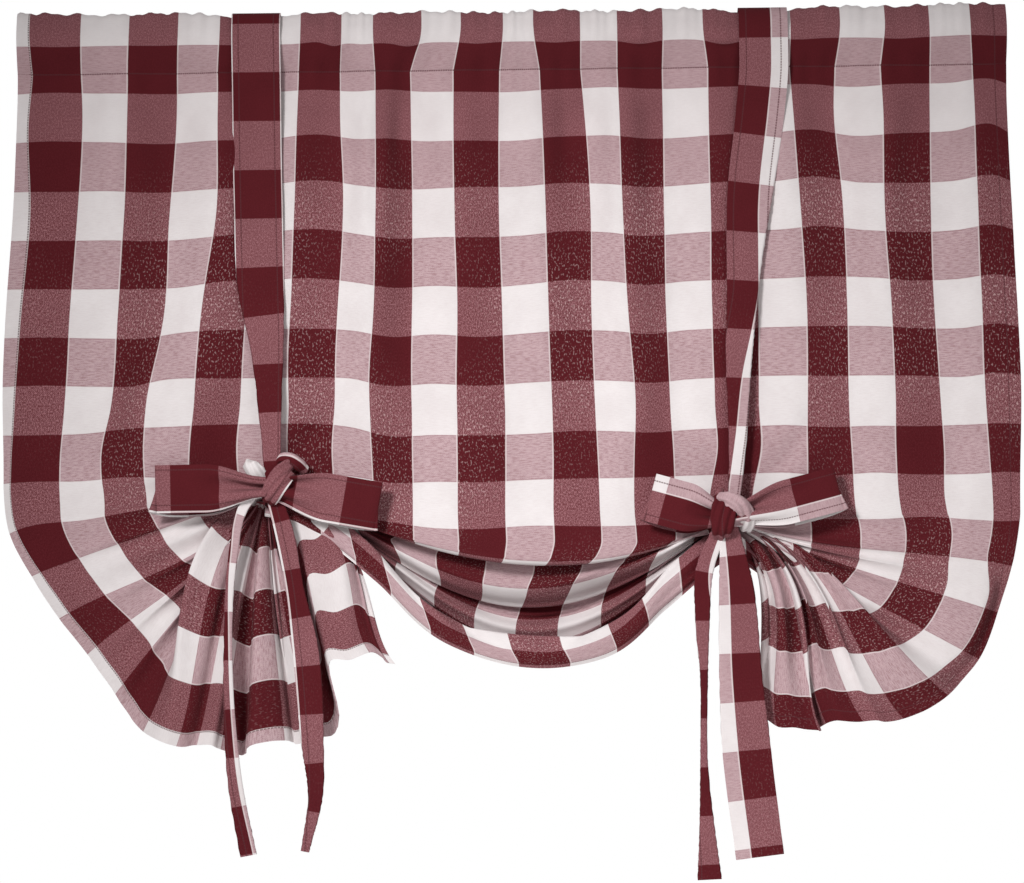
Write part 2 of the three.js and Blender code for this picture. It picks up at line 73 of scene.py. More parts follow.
# %% Helpers for tables and soft steps
def along_table(table, place):
    """Columns of a table at a place of its first column: Hermite cubic, three-point slopes."""
    key, values = table[:, 0], table[:, 1:]
    gap = np.diff(key)[:, None]
    rise = np.diff(values, axis=0) / gap
    inner = (rise[:-1] * gap[1:] + rise[1:] * gap[:-1]) / (gap[1:] + gap[:-1])
    slope = np.vstack([rise[:1], inner, rise[-1:]])
    i = np.clip(np.searchsorted(key, place, side="right") - 1, 0, len(key) - 2)
    t = np.clip((place - key[i]) / gap[i, 0], 0, 1)[..., None]
    step = values[i + 1] - values[i]
    bow = (1 - t) * (slope[i] * gap[i] - step) - t * (slope[i + 1] * gap[i] - step)
    return np.moveaxis(values[i] + step * t + t * (1 - t) * bow, -1, 0)


def between(a, b, t):
    """Straight mix: a + (b - a) t."""
    return a + (b - a) * t


def smooth(x, low, high):
    """Soft step 3t^2 - 2t^3 from 0 at low to 1 at high."""
    t = np.clip((x - low) / (high - low), 0, 1)
    return t * t * (3 - 2 * t)


def fade(x, low, high, kept=0.0):
    """Soft fall from 1 at low to the share that is kept at high."""
    return between(1, kept, smooth(x, low, high))


def plateau(x, low, top, end, high):
    """Soft rise from low to top, level as far as end, and soft fall to high."""
    return smooth(x, low, top) * fade(x, end, high)


def hump(x, low, top, high):
    """Soft rise from low to top and soft fall to high."""
    return plateau(x, low, top, top, high)


def ripple(u, pitch, sway, turn):
    """Ripple of uneven spacing: sin(2 pi u / pitch + sway sin(turn u))."""
    return np.sin(2 * np.pi * u / pitch + sway * np.sin(turn * u))


print("a quarter of the way along a soft step:", smooth(0.25, 0, 1))

# %% [markdown]
# ## The panel on its checks
# Woven checks are a ruler: a point of the flat cloth is a column and a row, counted in checks
# from the left edge and from the top. The tables say where the rows go once the bows are tied.
# In a fan, a row is a rib that swings out of the knot; in the swag, it is a garland.
# A cloth simulation could gather the panel too, but it would choose its own folds.

# %% Sizes of the panel
# A check and the heights in mm, all places on the flat cloth in checks
CHECK = 57.0
WIDE, LONG, SEAM_ROW = 23.07, 24.0, 1.3
DARK_COLUMN, DARK_ROW = 0.29, 0.68
LEFT_TIE, RIGHT_TIE = 5.7, 17.0
TOP_HEIGHT = 37.5
KNOTS = dict(left=np.array([-290, -521.0]), right=np.array([250, -561.0]))
LEVEL = {side: (TOP_HEIGHT - knot[1]) / CHECK for side, knot in KNOTS.items()}
print("flat panel in mm:", round(WIDE * CHECK), "by", round(LONG * CHECK))

# %% [markdown]
# ## Cloth packed into the knots
# A bow squeezes more than half the length of the panel into one bundle. The rows lie over each
# other there, and the cloth beside it stands in narrow pleats. A plain sine wave would look
# like the work of a machine, so the count of the pleats drifts to and fro along the rows.

# %% Packed rows and pleats
# Height of the bundle under each knot in mm, first row of the hem band and its share of it
ROOT_DROP = dict(left=34.0, right=52.0)
BAND_ROW, BAND_SHARE = 21.9, 0.65
PLEATS_A_CHECK = 1.25
# Drifts of the pleats: size in pleats, turn in radians a check, phase
PLEAT_DRIFTS = [(0.18, 2.1, 0), (0.1, 5.3, 1)]


def used_up(row, first):
    """Share of the length from a first row to the hem: (row - first) / (LONG - first)."""
    return np.clip((row - first) / (LONG - first), 0, 1)


def root_drop(row, side):
    """How far a row sits under its knot: packed rows first, then the broad band of the hem."""
    share = between(used_up(row, LEVEL[side]), used_up(row, BAND_ROW), BAND_SHARE)
    return ROOT_DROP[side] * share


def pleat_turn(row):
    """Angle of the pleats at a row: 2 pi (pleats a check * row + drifts)."""
    drift = sum(size * np.sin(turn * row + phase) for size, turn, phase in PLEAT_DRIFTS)
    return 2 * np.pi * (PLEATS_A_CHECK * row + drift)


def pleats(row, nearness, height):
    """Uneven ripples across the rows: height * nearness * sin of the pleats' angle."""
    return height * nearness * np.sin(pleat_turn(row))


print("pleats in the left fan:", round(PLEATS_A_CHECK * (LONG - LEVEL["left"])))

# %% [markdown]
# ## Swag
# Between the bows every row sags from knot to knot. The upper rows end in a rolled lip, the
# next ones fold to and fro behind it, and the hem comes out in front again as a band.
# A hanging chain would be the textbook curve. Cloth that is gathered at its ends sags lower on
# one side and flatter in the middle, so each row of the table has its own drop and bend.

# %% Swag
# Folds of the swag: row, drop, depth, bend, slide, skew
SWAG_FOLDS = np.array([
    (9.8, 0, 0, 0.2, 0, 1), (10.68, 36, -6, 0.25, 0, 1), (11.3, 57, -13, 0.75, 0, 1.1),
    (11.68, 67, -14, 0.95, 0.005, 1.2), (11.86, 72, -8, 1, 0.005, 1.2),
    (12.15, 58, 8, 1, 0.005, 1.2), (12.42, 54, 22, 1, -0.01, 1.1),
    (12.68, 68, 27, 1, -0.015, 1.1), (13.2, 86, 18, 1.2, -0.02, 1.12),
    (13.68, 101, 14, 1.4, -0.025, 1.12), (13.9, 109, 24, 1.4, -0.025, 1.12),
    (14.55, 124, 44, 1.3, -0.03, 1.15), (14.86, 121, 54, 1.3, -0.03, 1.2),
    (15.25, 131, 58, 1.4, -0.035, 1.2), (15.68, 139, 55, 1.4, -0.04, 1.2),
    (16.5, 157, 48, 1.4, -0.045, 1.2), (16.85, 170, 58, 1.4, -0.045, 1.2),
    (17.2, 150, 68, 1.4, -0.045, 1.2), (18.6, 66, 68, 1.4, -0.045, 1.2),
    (18.9, 66, 76, 1.4, -0.045, 1.2), (20.3, 168, 76, 1.4, -0.05, 1.2),
    (20.8, 186, 58, 1.4, -0.05, 1.2), (21.3, 184, 16, 1.4, -0.055, 1.2),
    (21.6, 166, 0, 1.4, -0.06, 1.2), (21.9, 155, -10, 1.4, -0.065, 1.2),
    (22.68, 172, -18, 1.4, -0.055, 1.2), (23.68, 187, -12, 1.4, -0.04, 1.2),
    (24, 190.5, -8, 1.4, -0.04, 1.2)])
# Share of the depth that is left in a knot, bend at the left and right end, rows of the lip
PINCH, BEND_SIDES, LIP_ROWS = 0.25, (1.2, 0.9), (10.6, 11.6)
# Pushes along the garland, as shares of its width, and the rows where they act
LEAN = dict(by=0.06, edge=10, rows=(11, 12.5))
SPREAD = dict(by=-0.035, rows=(12.2, 12.9, 14.5))
# Pushes along the hem band: by, then the shares where each starts, is full and ends
HEM_PUSHES = [(0.03, 0.55, 0.74, 0.86), (-0.026, 0.84, 0.94, 1), (-0.012, 0.15, 0.35, 0.6)]
HEM = dict(rows=(20.5, 21.5), belly=0.12, belly_rows=(21.2, 21.8, 22.9), full=0.3,
           full_from=(0.45, 0.85), full_rows=(20.9, 21.4), lift=16.0, lift_rows=(21.1, 21.7, LONG))
# Depth of the inner layers and strength of their pleats, over the arch and over the rows
INNER = dict(opens=(1.3, 0.6), open_rows=(11.9, 12.6), forward=14.0, arch=(0.03, 0.4, 0.9),
             rows=(12.1, 12.9, 16.4, 17.2))
LOOSE = dict(height=9.0, starts=(0.02, 0.15), fades=(0.2, 0.8, 0.25), rows=(11.9, 12.8),
             hem=(20.8, 21.6, 0.2), unseen=(0.05, 0.3), unseen_rows=(16.9, 18.8, 20.9))


def along_garland(across, row, slide):
    """Share of the way from knot to knot: the column's own share and what pushes it along."""
    lean = LEAN["by"] * across * (1 - across ** LEAN["edge"]) * fade(row, *LEAN["rows"])
    spread = SPREAD["by"] * np.sin(2 * np.pi * across) * hump(row, *SPREAD["rows"])
    hem = sum(by * hump(across, *place) for by, *place in HEM_PUSHES)
    spread = spread + hem * smooth(row, *HEM["rows"])
    return np.clip(across + slide * 4 * across * (1 - across) + lean + spread, 0, 1)


def garland_depth(arch, row, depth):
    """Depth between knots and middle, inner layers pulled forward, pleats near the knots."""
    opened = arch ** between(*INNER["opens"], smooth(row, *INNER["open_rows"]))
    forward = INNER["forward"] * hump(arch, *INNER["arch"]) * plateau(row, *INNER["rows"])
    loose = smooth(arch, *LOOSE["starts"]) * fade(arch, *LOOSE["fades"])
    loose = loose * smooth(row, *LOOSE["rows"]) * fade(row, *LOOSE["hem"])
    unseen = smooth(arch, *LOOSE["unseen"]) * hump(row, *LOOSE["unseen_rows"])
    y = depth * between(PINCH, 1, opened) - forward
    return y - pleats(row, loose + unseen, LOOSE["height"])


def swag(across, row):
    """Garland from knot to knot: chord minus drop times (4 k (1 - k))^bend, k the skewed share."""
    level = between(LEVEL["left"], LEVEL["right"], across)
    folded = between(LEVEL["left"] + row - level, row, smooth(row, *LIP_ROWS))
    folded = np.maximum(folded, LEVEL["left"])
    drop, depth, bend, slide, skew = along_table(SWAG_FOLDS, folded)
    share = along_garland(across, row, slide)
    arch = 4 * share ** skew * (1 - share ** skew)
    hang = arch ** (bend * between(*BEND_SIDES, share))
    hang = np.minimum(hang * (1 + HEM["belly"] * hump(folded, *HEM["belly_rows"])), 1)
    fuller = HEM["full"] * smooth(hang, *HEM["full_from"]) * smooth(folded, *HEM["full_rows"])
    hang = hang + fuller * (1 - hang)
    sunk = [root_drop(row, side) for side in KNOTS]
    ends = [KNOTS[side][1] - by for side, by in zip(KNOTS, sunk)]
    lift = HEM["lift"] * hump(row, *HEM["lift_rows"]) * 4 * arch * (1 - arch)
    z = between(*ends, share) - (drop - between(*sunk, 0.5)) * hang + lift
    x = between(KNOTS["left"][0], KNOTS["right"][0], share)
    return np.stack([x, garland_depth(arch, row, depth), z], -1)


print("lowest row of the swag in mm below its knots:", SWAG_FOLDS[:, 1].max())

# %% [markdown]
# ## Fans
# Each fan is a polar drawing: a column is a ring round the knot and a row is a spoke.
# Close to the knot the cloth has far less room than it needs, so it stands in narrow pleats.
# They could be sculpted one by one. Here they are waves on top of the spokes, strongest a
# hand's breadth from the knot, and flat where one part of the fan lies over another.

# %% Fans
# Ribs of the left fan: row, angle at the knot, angle at the rim, reach, depth
LEFT_RIBS = np.array([
    (9.8, 0, 0, 307, 0), (10.68, 10, 9.8, 304, -3), (11.68, 24, 20.4, 293, 0),
    (12.68, 58, 31.8, 287, 3), (13.68, 62, 42.5, 287, 3), (14.68, 62, 53.4, 300, 4),
    (15.45, 64, 61, 318, 7), (15.75, 36, 63.5, 321, -3), (16, 12, 66, 321, -14),
    (16.68, 40, 70.5, 320, -18), (17.68, 60, 74.5, 313, -5), (18.4, 72, 78, 309, -9),
    (18.68, 75, 79.5, 312, 2), (18.95, 79, 84.8, 316, 9), (19.1, 80, 85.3, 306, -16),
    (19.45, 88, 90.5, 297, -19), (19.75, 92, 94.6, 298, -8), (20, 93, 95.3, 301, 4),
    (20.3, 94, 96.4, 304, 4), (20.8, 98, 101, 300, -7), (21.2, 101, 106, 297, 7),
    (21.68, 138, 109, 222, -9), (22.2, 172, 116, 226, -12), (22.68, 206, 121.5, 229, -4),
    (23.68, 206, 124.4, 252, 6), (24, 205, 125.5, 258, 8)])
# Ribs of the right fan, in the same columns
RIGHT_RIBS = np.array([
    (10.5, 0, 0, 345, 0), (11.68, 25, 10.6, 340, -3), (12.68, 26, 20.1, 340, 0),
    (13.68, 30, 30.1, 343, 2), (14.2, 32, 35, 340, 6), (14.68, 8, 39.6, 335, -12),
    (15.68, 2, 49.5, 316, -6), (16.68, 3, 56.8, 289, -12), (17.6, 8, 64, 270, -10),
    (18, 10, 66.5, 272, 6), (18.6, 6, 67.2, 274, -14), (19.2, 16, 72.5, 260, -18),
    (19.68, 27, 77.4, 253, -14), (20.05, 34, 79.5, 240, -4), (20.6, 30, 77, 232, 12),
    (22, 24, 68, 228, 18), (24, 20, 60, 222, 16)])
# Visible length of a check along the ribs of each fan: row, length
FAN_CHECK = dict(
    left=np.array([(9.8, 48), (13.2, 48), (14.2, 53), (15.5, 57), (20.9, 57), (21.2, 57),
                   (21.7, 51), (24, 51)]),
    right=np.array([(10.5, 45.5), (11.5, 43), (12.7, 42), (13.6, 45), (14.7, 49), (24, 51)]))
# Way out from the knot, width in checks, ribs
FANS = dict(left=(-1, LEFT_TIE, LEFT_RIBS), right=(1, WIDE - RIGHT_TIE, RIGHT_RIBS))
# Pleats over the reach and over the rows, and the rows where one part lies over another
FAN_PLEAT = dict(height=11.0, lean=2.2, leans=(0.1, 0.4), starts=(0.02, 0.25),
                 fades=(0.4, 1, 0.15), first=0.35, rows=(13, 16), hem=(21.2, 21.7, 0.3))
OVERLAP = dict(left=(15.4, 19.8), right=(14.0, 15.7))
OVERLAP_FLAT, OVERLAP_RISE, OVERLAP_FALL = 0.8, 0.5, 0.7
DEPTH_SETTLES = (0, 0.5)
# Curl of each side hem: bulge as a share of the reach, turn to the back in mm
RIM_CURL = dict(left=(0, 0), right=(0.045, 20.0))
CURL = dict(rows=(11.4, 12.5, 16.5), bulge=(0.5, 0.87, 1), back=(0.85, 1))


def fan_pleats(rho, row, side):
    """Strength of the pleats: a product of soft steps over the reach and over the rows."""
    first, last = OVERLAP[side]
    overlap = plateau(row, first - OVERLAP_RISE, first, last, last + OVERLAP_FALL)
    strength = smooth(rho, *FAN_PLEAT["starts"]) * fade(rho, *FAN_PLEAT["fades"])
    strength = strength * between(FAN_PLEAT["first"], 1, smooth(row, *FAN_PLEAT["rows"]))
    return strength * fade(row, *FAN_PLEAT["hem"]) * (1 - OVERLAP_FLAT * overlap)


def fan(out, row, side):
    """Spoke of a fan: knot + reach rho (cos a, -sin a), a from root to rim as 1 - (1 - rho)^2.

    The side hem of the right fan bulges and curls to the back on its upper rows."""
    sign, checks, ribs = FANS[side]
    root, rim, reach, depth = along_table(ribs, row)
    bulge, back = (size * hump(row, *CURL["rows"]) for size in RIM_CURL[side])
    rho = np.clip(out, 0, 1) ** (checks * along_table(FAN_CHECK[side], row)[0] / reach)
    rho = rho + bulge * hump(out, *CURL["bulge"])
    tight = fan_pleats(rho, row, side)
    lean = FAN_PLEAT["lean"] * tight * np.cos(pleat_turn(row)) * smooth(rho, *FAN_PLEAT["leans"])
    angle = np.radians(between(root, rim, 1 - (1 - rho) ** 2) + lean)
    pinched = PINCH * along_table(SWAG_FOLDS, row)[1]
    y = between(pinched, depth, smooth(rho, *DEPTH_SETTLES)) + back * smooth(out, *CURL["back"])
    y = y - pleats(row, tight, FAN_PLEAT["height"])
    x, z = KNOTS[side]
    x = x + sign * reach * rho * np.cos(angle)
    z = z - reach * rho * np.sin(angle) - root_drop(row, side) * (1 - rho)
    return np.stack([x, y, z], -1)


print("longest ribs in mm:", LEFT_RIBS[:, 3].max(), "and", RIGHT_RIBS[:, 3].max())

# %% [markdown]
# ## Flutes, dents and creases
# The heading is gathered on its rod, and every gather sends a soft flute down the cloth.
# They are strongest below the stitch line and die out above the bows. Cotton that was folded
# in a packet also keeps long, shallow dents, which are a few crossing waves. The creases that
# give this shade its look are placed one by one: under the gathers, towards the knots and
# along the swag.

# %% Flutes, dents and creases
# Rows from the seam to the waist, height of the flutes in mm, its shares at the seam and waist
WAIST_ROWS = 7
FLUTE_HEIGHT, FLUTE_START, FLUTE_LEFT = 11.0, 0.4, 0.5
# Flutes: share of the height, period and shift in checks
FLUTES = [(0.75, 2.0, -0.77), (0.4, 3.1, 0.5)]
# Puckers of the seam: height in mm, rows to die out, then pitch, sway and turn of a ripple
PUCKER = dict(height=1.1, rows=0.5, form=(0.53, 2, 1))
# Dents: waves a check, direction, phase
DENT_HEIGHT, DENT_SOFT, DENT_COUNT = 0.55, 0.5, 14
rng = np.random.default_rng(7)
DENTS = np.column_stack([rng.uniform(0.12, 0.55, DENT_COUNT), rng.uniform(0, np.pi, DENT_COUNT),
                         rng.uniform(0, 2 * np.pi, DENT_COUNT)])
# Creases: column and row at both ends, depth in mm (ridges below 0), half width in checks
CREASES = [
    (8.35, 1.5, 8.2, 5.2, 5, 0.22), (9.0, 1.5, 8.9, 3.4, 4, 0.2), (12.8, 1.5, 12.7, 4, 4, 0.22),
    (14.9, 1.5, 15, 4.6, 4, 0.22), (20.9, 1.5, 20.7, 5, 4, 0.25), (2.2, 1.5, 2.4, 4.8, 4, 0.25),
    (3.8, 7.6, 5.4, 9.6, 5, 0.25), (3, 8.8, 5.2, 9.9, -4, 0.22), (7.3, 8.4, 6, 9.8, 4, 0.22),
    (18.6, 8.2, 17.2, 10.3, 5, 0.25), (19.6, 9.4, 17.5, 10.6, -4, 0.22),
    (15.6, 8.6, 16.8, 10.4, 4, 0.22), (7.9, 11, 9.3, 11.75, -5, 0.2),
    (15.3, 10.6, 15, 11.8, -4, 0.18), (15.8, 10.6, 15.4, 11.8, 4, 0.18),
    (8.5, 13.3, 11.2, 13.9, 5, 0.2), (12.4, 13.7, 14.6, 13, -5, 0.2),
    (9.2, 15.3, 11.8, 16, -4, 0.2), (12, 15.9, 14.4, 15.2, 4, 0.2),
    (6.3, 22.2, 9.4, 22.6, 6, 0.35), (9.9, 21.7, 11.1, 22.5, -7, 0.3),
    (10.7, 21.9, 11.9, 22.7, 6, 0.3), (13.2, 22.4, 14, 21.7, -7, 0.3),
    (12.7, 22.5, 13.4, 21.9, 6, 0.3), (14.3, 22.6, 16.5, 22.2, 6, 0.35)]


def flute(u, period, shift):
    """One train of upright waves: sin(2 pi (u + shift) / period)."""
    return np.sin(2 * np.pi * (u + shift) / period)


def flutes(u, row):
    """Upright waves of two periods that grow under the seam and fade to the waist."""
    grown = between(FLUTE_START, 1, smooth(row, SEAM_ROW, SEAM_ROW + 1))
    height = FLUTE_HEIGHT * grown * fade(row, SEAM_ROW, SEAM_ROW + WAIST_ROWS, FLUTE_LEFT)
    waves = sum(share * flute(u, *form) for share, *form in FLUTES)
    puckers = ripple(u, *PUCKER["form"]) * np.exp(-(row - SEAM_ROW) / PUCKER["rows"])
    return height * waves + PUCKER["height"] * puckers


def dents(u, row):
    """Shallow wrinkles: a sum of plane waves of seeded pitch, direction and phase."""
    pitch, way, phase = DENTS.T[:, :, None, None]
    waves = np.sin(2 * np.pi * pitch * (u * np.cos(way) + row * np.sin(way)) + phase)
    return DENT_HEIGHT * (waves / (DENT_SOFT + pitch)).sum(0)


def creases(u, row):
    """Listed folds: depth sin(pi t) exp(-(gap / wide)^2), gap from the line at its share t."""
    total = 0
    for from_u, from_row, to_u, to_row, depth, wide in CREASES:
        run_u, run_row = to_u - from_u, to_row - from_row
        t = ((u - from_u) * run_u + (row - from_row) * run_row) / (run_u ** 2 + run_row ** 2)
        t = np.clip(t, 0, 1)
        gap = np.hypot(u - from_u - t * run_u, row - from_row - t * run_row)
        total = total + depth * np.sin(np.pi * t) * np.exp(-(gap / wide) ** 2)
    return total


print(len(FLUTES), "trains of flutes,", len(DENTS), "dents,", len(CREASES), "creases")

# %% [markdown]
# ## The whole panel
# No weaver's check hangs perfectly straight: the columns wander and the row lines dip by some
# millimetres. Noise would do that too, but not where this shade does it, so two small tables
# hold the shifts. The upper panel then runs into the fans and the swag in three rows of checks.

# %% Points of the panel
# Side edges at the heading and at the waist, and how far the gathers bunch the columns, in mm
TOP_EDGE, WAIST_EDGE, HEADING_BUNCH = (-574, 584), (-597, 598), 17.6
# Rows in which the columns are drawn to the knots and the flutes die out
GATHER_ROWS, CALM_ABOVE, CALM_BELOW = 3, 2, 1
# How far the stitch line stands in front of the rod in mm, and the rows to fall back
FRONT, FRONT_ROWS = 6.0, 4
STRAIGHT = (0,) * 23
# Sideways shift of the column borders 0.29, 1.29 ... 22.29 on some rows: row, then millimetres
COLUMN_SHIFT = np.array([
    (1.3, 2, 3, 4, 7, 3, 1, -4, -5, -11, -17, -12, -4, -2, 0, -3, 2, 8, 6, 3, 4, 4, 8, 3),
    (2.18, -2, 5, 4, 7, 4, 0, -5, -4, -10, -16, -12, -5, 0, 4, -2, 2, 7, 6, 5, 2, 5, 7, 4),
    (4.18, 5, 6, 8, 7, 11, 5, 0, 7, -4, -10, -8, -4, 3, 8, -3, -3, 2, 4, 5, 4, -1, 1, 2),
    (6.18, 3, 7, 12, 13, 6, 6, 7, 11, 2, -4, -1, 1, 5, 5, -3, -9, -6, -3, 2, -2, -3, -4, -1),
    (8.18, -1, 7, 11, 0, 4, 3, 5, 8, -2, -4, -2, 3, 7, 6, 2, -8, -6, -6, -3, -7, -5, -3, -2),
    (9.18, -5, 3, 2, -1, 0, -4, -2, -1, -4, -8, -5, 0, 6, 7, 0, -3, 4, 4, -3, -7, -8, -2, 1),
    (10.18, -6, 2, 4, 2, 0, 0, 0, 0, -4, -9, -7, -2, 4, 8, -1, 0, 0, 0, -3, -7, -8, -4, 4),
    (11.2, -4, -2, 0, 2, 0, 0, 0, 0, -4, -8, -5, -1, 5, 9, 2, 0, 0, 0, 0, -1, 1, 5, 4),
    (12.2, *STRAIGHT)])
# Dip of the row lines in the middle of each column, 0.79, 1.79 ... 22.79: row, then millimetres
ROW_DIP = np.array([
    (1.3, *STRAIGHT),
    (1.68, -2, 0, 1, 0, 0, 0, -2, 1, -1, 2, 3, 3, 0, -1, 1, 1, 0, -1, -2, 2, -1, -2, -5),
    (3.68, 0, 0, 2, 0, -2, -6, -10, -3, 1, 1, 0, 0, -4, -2, 2, 0, -3, -3, -8, 0, 1, -1, -6),
    (5.68, 0, 1, 1, -1, -7, -8, -9, -3, 3, 1, 4, 1, -4, -2, 3, -1, -2, -3, -5, -3, 1, 0, -4),
    (7.68, -1, 1, 1, -7, -7, -7, -7, -5, 4, 2, 5, 2, 0, 1, 4, 0, -2, -3, -2, -2, -1, 1, -3),
    (8.68, 0, -1, -6, -8, -10, -10, -10, -5, 6, 5, 6, 5, 2, 3, 5, 2, 0, -2, 1, 0, 1, 0, -1),
    (9.68, -2, -2, -6, -5, -4, -6, -8, -4, 4, 3, 4, 2, 1, 1, 0, -1, -2, -3, 1, -2, 1, 1, -1),
    (10.68, -4, 0, 0, 0, 0, 0, 0, 0, 4, 9, 9, 5, 5, 5, 3, 0, 0, 0, 0, 0, -3, 0, 1),
    (11.6, *STRAIGHT)])
PAST_EDGE = 0.01


def column_x(u, row):
    """Place of a column on the plain upper panel, bunched at the heading and even at the waist."""
    t = u / WIDE
    top = between(*TOP_EDGE, t) + HEADING_BUNCH * np.sin(2 * np.pi * t)
    return between(top, between(*WAIST_EDGE, t), smooth(row, SEAM_ROW, SEAM_ROW + WAIST_ROWS))


def uneven(table, first, u, row):
    """Table of rows and columns on a grid of points, smooth both ways, zero at both side hems."""
    places = np.concatenate([[0], first + np.arange(table.shape[1] - 1), [WIDE + PAST_EDGE]])
    on_rows = np.pad(along_table(table, row[:, 0]), ((1, 1), (0, 0)))
    return along_table(np.column_stack([places, on_rows]), u[0])


def panel_points(u, row):
    """Point of the panel at a column and a row: upper panel blended into fans and swag."""
    across = np.clip((u - LEFT_TIE) / (RIGHT_TIE - LEFT_TIE), 0, 1)
    level = between(LEVEL["left"], LEVEL["right"], across)
    low = np.maximum(row, level)
    left = fan(1 - u / LEFT_TIE, low, "left")
    right = fan((u - RIGHT_TIE) / (WIDE - RIGHT_TIE), low, "right")
    hung = np.where((u < LEFT_TIE)[..., None], left, swag(across, low))
    hung = np.where((u > RIGHT_TIE)[..., None], right, hung)
    drawn = smooth(row, level - GATHER_ROWS, level)
    x = between(column_x(u, row), hung[..., 0], drawn) + uneven(COLUMN_SHIFT, DARK_COLUMN, u, row)
    y = hung[..., 1] * drawn + flutes(u, row) * fade(row, level - CALM_ABOVE, level + CALM_BELOW)
    y = y + (dents(u, row) + creases(u, row)) * smooth(row, SEAM_ROW, SEAM_ROW + 1)
    y = y - FRONT * fade(row, SEAM_ROW, SEAM_ROW + FRONT_ROWS)
    z = np.where(row < level, TOP_HEIGHT - CHECK * row, hung[..., 2])
    z = z - uneven(ROW_DIP, DARK_COLUMN + 0.5, u, row)
    return np.stack([x, y, z], -1)


print("widest column shift in mm:", np.abs(COLUMN_SHIFT[:, 1:]).max())

# %% [markdown]
# ## From a grid of points to a piece of cloth
# Cloth has a front, a back and an edge. A Solidify modifier could thicken a flat sheet, but a
# hem is twice as thick as the field, so both faces are laid out here, each half a thickness
# from the middle. The UV map stores the column and row, so that the weave follows the folds.

# %% Maker for cloth pieces
UV_CHECKS = 32.0


def sheet_faces(rows, cols):
    """Faces of a closed two-sided grid, and the round of its rim: front, back turned, edge."""
    i = np.arange(rows * cols).reshape(rows, cols)
    front = np.stack([i[:-1, :-1], i[:-1, 1:], i[1:, 1:], i[1:, :-1]], -1).reshape(-1, 4)
    rim = np.concatenate([i[0, ::-1], i[1:, 0], i[-1, 1:], i[-2:0:-1, -1]])
    turn = np.roll(rim, -1)
    edge = np.stack([rim, turn, turn + i.size, rim + i.size], -1)
    return np.concatenate([front, front[:, ::-1] + i.size, edge]), rim


def cloth_piece(name, points, thickness, checks):
    """Closed sheet round a grid: points +- normal * thickness / 2, joined by a sharp rim."""
    rows, cols = points.shape[:2]
    normal = np.cross(np.gradient(points, axis=1), np.gradient(points, axis=0))
    normal /= np.linalg.norm(normal, axis=-1, keepdims=True) + 1e-12
    shift = normal * np.broadcast_to(thickness, (rows, cols))[..., None] / 2
    verts = np.concatenate([(points + shift).reshape(-1, 3), (points - shift).reshape(-1, 3)])
    faces, rim = sheet_faces(rows, cols)
    mesh = bpy.data.meshes.new(name)
    mesh.from_pydata(verts * MM, [], faces.tolist())
    corner = np.empty(len(mesh.loops), int)
    mesh.loops.foreach_get("vertex_index", corner)
    uv = np.tile(checks.reshape(-1, 2), (2, 1))[corner] / UV_CHECKS
    mesh.uv_layers.new(name="checks").data.foreach_set("uv", uv.ravel())
    border = np.zeros(len(verts), bool)
    border[np.concatenate([rim, rim + rows * cols])] = True
    pairs = np.empty(2 * len(mesh.edges), int)
    mesh.edges.foreach_get("vertices", pairs)
    sharp = mesh.attributes.new("sharp_edge", "BOOLEAN", "EDGE")
    sharp.data.foreach_set("value", border[pairs.reshape(-1, 2)].all(1))
    mesh.polygons.foreach_set("use_smooth", np.ones(len(mesh.polygons), bool))
    piece = bpy.data.objects.new(name, mesh)
    bpy.context.collection.objects.link(piece)
    print(name, len(faces) * 2, "triangles")
    return piece


def stand_for(piece, node):
    """The piece rides with the part and hides the solid it stands for."""
    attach(piece, "root")
    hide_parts(node)


# %% [markdown]
# ## Panel
# The panel is one rectangle of cloth with a narrow hem at both sides and a wider one at the
# bottom. Its grid has more lines where the folds are: below the bows and between them. It
# starts a little above the stitch line, so that no gap shows under the pocket.

# %% Panel
# Thickness of the field and what a hem adds, in mm; hems, their step and the tuck in checks
FIELD, HEMMED = 0.9, 1.0
SIDE_HEM, BOTTOM_HEM, HEM_STEP, TUCK_IN = 0.27, 0.33, 0.05, 0.04
# Grid lines up and down in each stretch of columns, and across in each stretch of rows
LEFT_LINES, MIDDLE_LINES, RIGHT_LINES = 53, 105, 57
UPPER_LINES, LOWER_LINES = 60, 160
columns = np.concatenate([np.linspace(0, LEFT_TIE, LEFT_LINES)[:-1],
                          np.linspace(LEFT_TIE, RIGHT_TIE, MIDDLE_LINES)[:-1],
                          np.linspace(RIGHT_TIE, WIDE, RIGHT_LINES)])
lines = np.concatenate([np.linspace(SEAM_ROW - TUCK_IN, LEVEL["left"], UPPER_LINES)[:-1],
                        np.linspace(LEVEL["left"], LONG, LOWER_LINES)])
u, row = np.meshgrid(columns, lines)
hemmed = np.maximum(smooth(-np.minimum(u, WIDE - u), -SIDE_HEM - HEM_STEP, -SIDE_HEM),
                    smooth(row, LONG - BOTTOM_HEM - HEM_STEP, LONG - BOTTOM_HEM))
panel = cloth_piece("panel_cloth", panel_points(u, row), FIELD + HEMMED * hemmed,
                    np.stack([u, row], -1))
stand_for(panel, "panel")

# %% [markdown]
# ## Rod pocket
# The top edge of the panel is turned to the back and stitched down, so it is a flat sleeve.
# Over the rod it is round, in front it hangs almost flat to the stitch line, and the gathers
# puff it up here and there. One profile runs along the rows, back layer first, and the puffs
# are soft bumps on the columns where the cloth stands out most.

# %% Rod pocket
# Row of the top fold; middle of the sleeve, its sag, and how straps press it down, in mm
FOLD_ROW = -0.11
POCKET = dict(centre=0.35, sag=3, press=6, press_wide=45)
STRAP_TOPS = (-294, 299)
